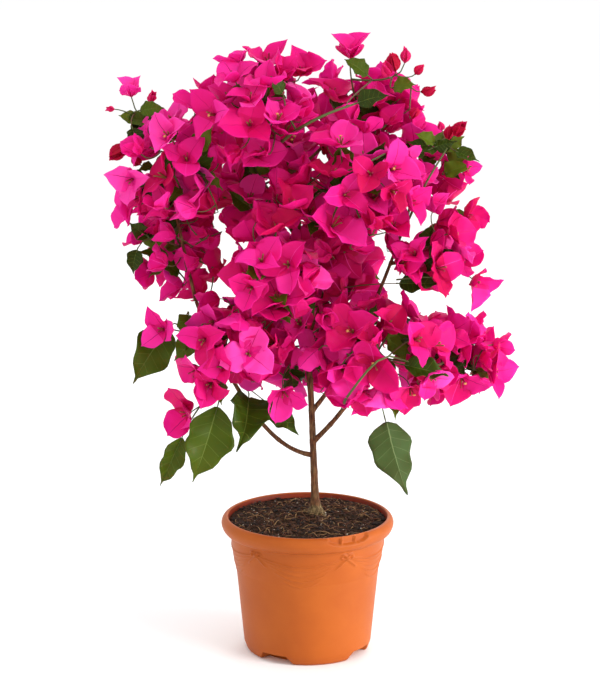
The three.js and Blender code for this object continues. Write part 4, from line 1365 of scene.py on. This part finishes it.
BARK_BROWN = [(0.3, (54, 29, 17)), (0.48, (92, 53, 30)), (0.62, (120, 75, 43)), (0.78, (152, 110, 72))]
BARK_GREY = [(0.3, (78, 60, 42)), (0.55, (118, 98, 68)), (0.8, (160, 142, 110))]
ROOT_PALE = [(0.3, (54, 40, 24)), (0.48, (88, 71, 43)), (0.62, (120, 101, 64)), (0.78, (160, 142, 102))]
PEAT_DARK = [(0.35, (26, 15, 8)), (0.52, (50, 33, 20)), (0.66, (76, 54, 36))]
PEAT_BITS = [(0.42, (30, 18, 10)), (0.6, (66, 46, 30)), (0.76, (128, 104, 78))]

# Colours of the petals' faces and ribs, leaves and young bracts.
PINKS = [(249, 62, 162), (240, 40, 146), (230, 25, 130), (220, 15, 114), (208, 9, 96), (192, 6, 76)]
RIB_PINKS = [(200, 10, 100), (238, 56, 156), (160, 6, 80)]
GREENS = [(49, 68, 8), (64, 82, 10), (41, 56, 8), (84, 102, 18)]
REDS = [(196, 14, 62), (176, 8, 48), (214, 26, 96)]

# The other parts of a leaf: name, colour and roughness, in the order of LEAF_BACK and so on.
LEAF_PARTS = [("leaf_back", (58, 78, 34), 0.6), ("leaf_rib", (96, 114, 44), 0.5),
              ("leaf_rib_back", (98, 114, 68), 0.5), ("leaf_vein", (80, 98, 30), 0.5),
              ("leaf_vein_back", (74, 93, 47), 0.55)]


def linear(colour):
    """A colour of 0 to 255 as scene values, with its alpha."""
    c = np.array(colour) / 255
    return (*np.where(c <= 0.04045, c / 12.92, ((c + 0.055) / 1.055) ** 2.4), 1)


def plain(name, colour, roughness, **sockets):
    """A material of one colour. sockets are more of the shader's own, with _ for each space."""
    material = bpy.data.materials.new(name)
    material.use_nodes = True
    shader = material.node_tree.nodes["Principled BSDF"]
    shader.inputs["Base Color"].default_value = linear(colour)
    shader.inputs["Roughness"].default_value = roughness
    for socket, value in sockets.items():
        shader.inputs[socket.replace("_", " ")].default_value = value
    return material


def blade(name, colour, roughness=0.6, soft=0.3):
    """A thin blade that lets some light through."""
    return plain(name, colour, roughness, Subsurface_Weight=soft, Subsurface_Radius=(1.0, 0.4, 0.75),
                 Subsurface_Scale=0.0022, Specular_IOR_Level=0.12)


def shades(make, name, colours, *looks):
    """A material for each colour, all made alike."""
    return [make(f"{name}_{k + 1}", colour, *looks) for k, colour in enumerate(colours)]


def foliage_materials():
    """The materials of each kind of foliage, in the order that the faces count them in."""
    return {
        "bracts": shades(blade, "bract", PINKS) + shades(blade, "bract_rib", RIB_PINKS),
        "leaves": shades(blade, "leaf", GREENS, 0.45, 0.08) + [blade(*part, 0.1) for part in LEAF_PARTS],
        "buds": shades(blade, "bud", REDS),
        "florets": [plain("floret", (146, 30, 56), 0.6), plain("floret_green", (132, 96, 50), 0.6),
                    plain("floret_star", (214, 150, 84), 0.6)],
        "twigs": [plain("twig_brown", (98, 76, 48), 0.7), plain("twig_green", (76, 86, 34), 0.6)],
    }


def litter_materials():
    return [
        *shades(plain, "crumb", [(46, 27, 15), (28, 16, 9), (70, 42, 24)], 0.95),
        plain("speck", (196, 186, 168), 0.9),
        *shades(plain, "fibre", [(96, 58, 34), (66, 38, 22), (142, 108, 70)], 0.9),
    ]


class Nodes:
    """Short calls to lay out the nodes of a new material."""

    def __init__(self, name, colour, roughness, gloss):
        self.material = plain(name, colour, roughness, Specular_IOR_Level=gloss)
        self.tree = self.material.node_tree
        self.shader = self.tree.nodes["Principled BSDF"]
        self.place = self.tree.nodes.new("ShaderNodeTexCoord").outputs["Object"]

    def add(self, kind, values, **links):
        node = self.tree.nodes.new(kind)
        for key, value in values.items():
            if key in node.inputs:
                node.inputs[key].default_value = value
            else:
                setattr(node, key, value)
        self.link(node, links)
        return node

    def link(self, node, links):
        for key, output in links.items():
            self.tree.links.new(output, node.inputs[key.replace("_", " ")])

    def noise(self, scale, detail, stretch=(1, 1, 1)):
        moved = self.add("ShaderNodeMapping", {"Scale": stretch}, Vector=self.place).outputs["Vector"]
        return self.add("ShaderNodeTexNoise", {"Scale": scale, "Detail": detail}, Vector=moved).outputs["Fac"]

    def ramp(self, factor, stops):
        node = self.add("ShaderNodeValToRGB", {}, Fac=factor)
        elements = node.color_ramp.elements
        while len(elements) < len(stops):
            elements.new(0.5)
        for element, (position, colour) in zip(elements, stops):
            element.position = position
            element.color = linear(colour)
        return node.outputs["Color"]

    def blend(self, factor, a, b):
        node = self.add("ShaderNodeMix", {"data_type": "RGBA"}, Factor=factor)
        self.tree.links.new(a, node.inputs[6])
        self.tree.links.new(b, node.inputs[7])
        return node.outputs[2]

    def range(self, value, low, high, start=0.3, end=0.7):
        span = {"From Min": start, "From Max": end, "To Min": low, "To Max": high}
        return self.add("ShaderNodeMapRange", span, Value=value).outputs["Result"]

    def bump(self, height, distance, strength, **under):
        depth = {"Strength": strength, "Distance": distance}
        return self.add("ShaderNodeBump", depth, Height=height, **under).outputs["Normal"]

    def finish(self, **links):
        self.link(self.shader, links)
        return self.material


def bark_material(name, browns):
    n = Nodes(name, browns[1][1], 0.8, 0.25)
    streaks = n.noise(900, 5, (1, 1, 0.12))
    patches = n.noise(110, 3)
    brown = n.ramp(streaks, browns)
    grey = n.ramp(streaks, BARK_GREY)
    colour = n.blend(n.range(patches, 0, 0.36, 0.47, 0.64), brown, grey)
    bumped = n.bump(n.noise(2600, 4), 0.0002, 0.5, Normal=n.bump(streaks, 0.0005, 0.6))
    return n.finish(Base_Color=colour, Roughness=n.range(patches, 0.7, 0.9), Normal=bumped)


def pot_material(name, light, dark, dusty):
    n = Nodes(name, light, 0.5, 0.22)
    clouds = n.noise(22, 3)
    grain = n.noise(1400, 3)
    tone = n.ramp(clouds, [(0.35, dark), (0.65, light)])
    dust = n.ramp(grain, [(0.4, light), (0.75, dusty)])
    colour = n.blend(n.range(n.noise(70, 5), 0.0, 0.3, 0.5, 0.75), tone, dust)
    matt, bumped = n.range(grain, 0.42, 0.54), n.bump(grain, 0.00008, 0.5)
    return n.finish(Base_Color=colour, Roughness=matt, Normal=bumped)


def soil_material():
    n = Nodes("peat", (52, 36, 24), 0.95, 0.15)
    coarse, fine = n.noise(260, 6), n.noise(1500, 5)
    colour = n.blend(n.range(fine, 0.1, 0.8), n.ramp(coarse, PEAT_DARK), n.ramp(fine, PEAT_BITS))
    bumped = n.bump(fine, 0.0007, 0.9, Normal=n.bump(coarse, 0.0015, 0.8))
    return n.finish(Base_Color=colour, Normal=bumped)


# ---- the stage ----

# Places are in metres, the lens and sensor in millimetres, and the tilt in degrees down from level.
CAMERA = {"lens": 144.7, "sensor": 36, "place": (-0.0074, -2.6, 0.92), "tilt": 13.17, "sees": 50}
FLOOR_HALF = 6
WHITE = (1, 1, 1, 1)
AIM = (0, 0, 0.35)  # where most lamps point


def add_area(name, place, size, power, target=AIM, spread=180):
    light = bpy.data.lights.new(name, "AREA")
    light.shape = "DISK"
    light.size = size
    light.energy = power
    light.spread = math.radians(spread)
    lamp = bpy.data.objects.new(name, light)
    lamp.location = place
    lamp.rotation_euler = (Vector(target) - lamp.location).to_track_quat("-Z", "Y").to_euler()
    bpy.context.scene.collection.objects.link(lamp)


def set_stage():
    scene = bpy.context.scene
    camera = bpy.data.objects.new("camera", bpy.data.cameras.new("camera"))
    camera.data.lens = CAMERA["lens"]
    camera.data.sensor_width = CAMERA["sensor"]
    camera.data.clip_end = CAMERA["sees"]
    camera.location = CAMERA["place"]
    camera.rotation_euler = (math.radians(90 - CAMERA["tilt"]), 0, 0)
    scene.collection.objects.link(camera)
    scene.camera = camera

    mesh = bpy.data.meshes.new("floor")
    corners = [(x * FLOOR_HALF, y * FLOOR_HALF, 0) for x, y in ((-1, -1), (1, -1), (1, 1), (-1, 1))]
    mesh.from_pydata(corners, [], [(0, 1, 2, 3)])
    mesh.materials.append(plain("floor_white", (255, 255, 255), 0.8, Specular_IOR_Level=0.0))
    ground = bpy.data.objects.new("floor", mesh)
    scene.collection.objects.link(ground)

    world = bpy.data.worlds.new("studio")
    world.use_nodes = True
    background = world.node_tree.nodes["Background"].inputs
    background["Color"].default_value = WHITE
    background["Strength"].default_value = 1.0
    scene.world = world
    scene.view_settings.view_transform = "Standard"
    add_area("key", (1.5, -1.3, 1.6), 1.0, 20)
    add_area("side", (1.3, -0.5, 0.2), 0.5, 2, target=(0, 0, 0.02), spread=60)
    add_area("fill", (-1.7, -1.3, 0.9), 1.4, 2)
    add_area("back", (0.4, 1.6, 1.5), 1.2, 10)


# ---- the bush ----


def build_foliage(masses):
    """Builds a piece of each kind for each region. The bracts stand for the region's masses."""
    materials = foliage_materials()
    for kind, regions in grow_foliage(masses).items():
        for region, batch in regions.items():
            stood_for = ["mass_" + name for name in REGIONS[region]] if kind == "bracts" else ()
            if batch.count:
                batch.build(f"{kind}_{region}", materials[kind], "foliage", *stood_for)


def build_bark(limbs):
    bark = grow_bark(limbs)
    grow_roots(bark, limbs["trunk"])
    materials = [bark_material("bark", BARK_BROWN), bark_material("root_bark", ROOT_PALE)]
    bark.build("bark_relief", materials, "bark", *limbs)


def build_pot():
    outside = pot_material("terracotta_plastic", (174, 86, 22), (166, 79, 19), (186, 100, 34))
    # Darker inside: partly dirt, partly painted shade where the pot's inner wall and floor lie in shadow.
    inside = pot_material("terracotta_inside_dirt_and_shade", (150, 56, 26), (126, 42, 20), (168, 78, 46))
    make_pot().build("pot_shell", [outside, inside], "pot", "pot")


def main():
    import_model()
    set_stage()

    limbs = grow_limbs()
    build_foliage(grow_masses(limbs))
    build_bark(limbs)
    build_pot()
    make_soil().build("peat_bed", [soil_material()], "soil", "soil")
    make_litter().build("peat_litter", litter_materials(), "soil")


main()
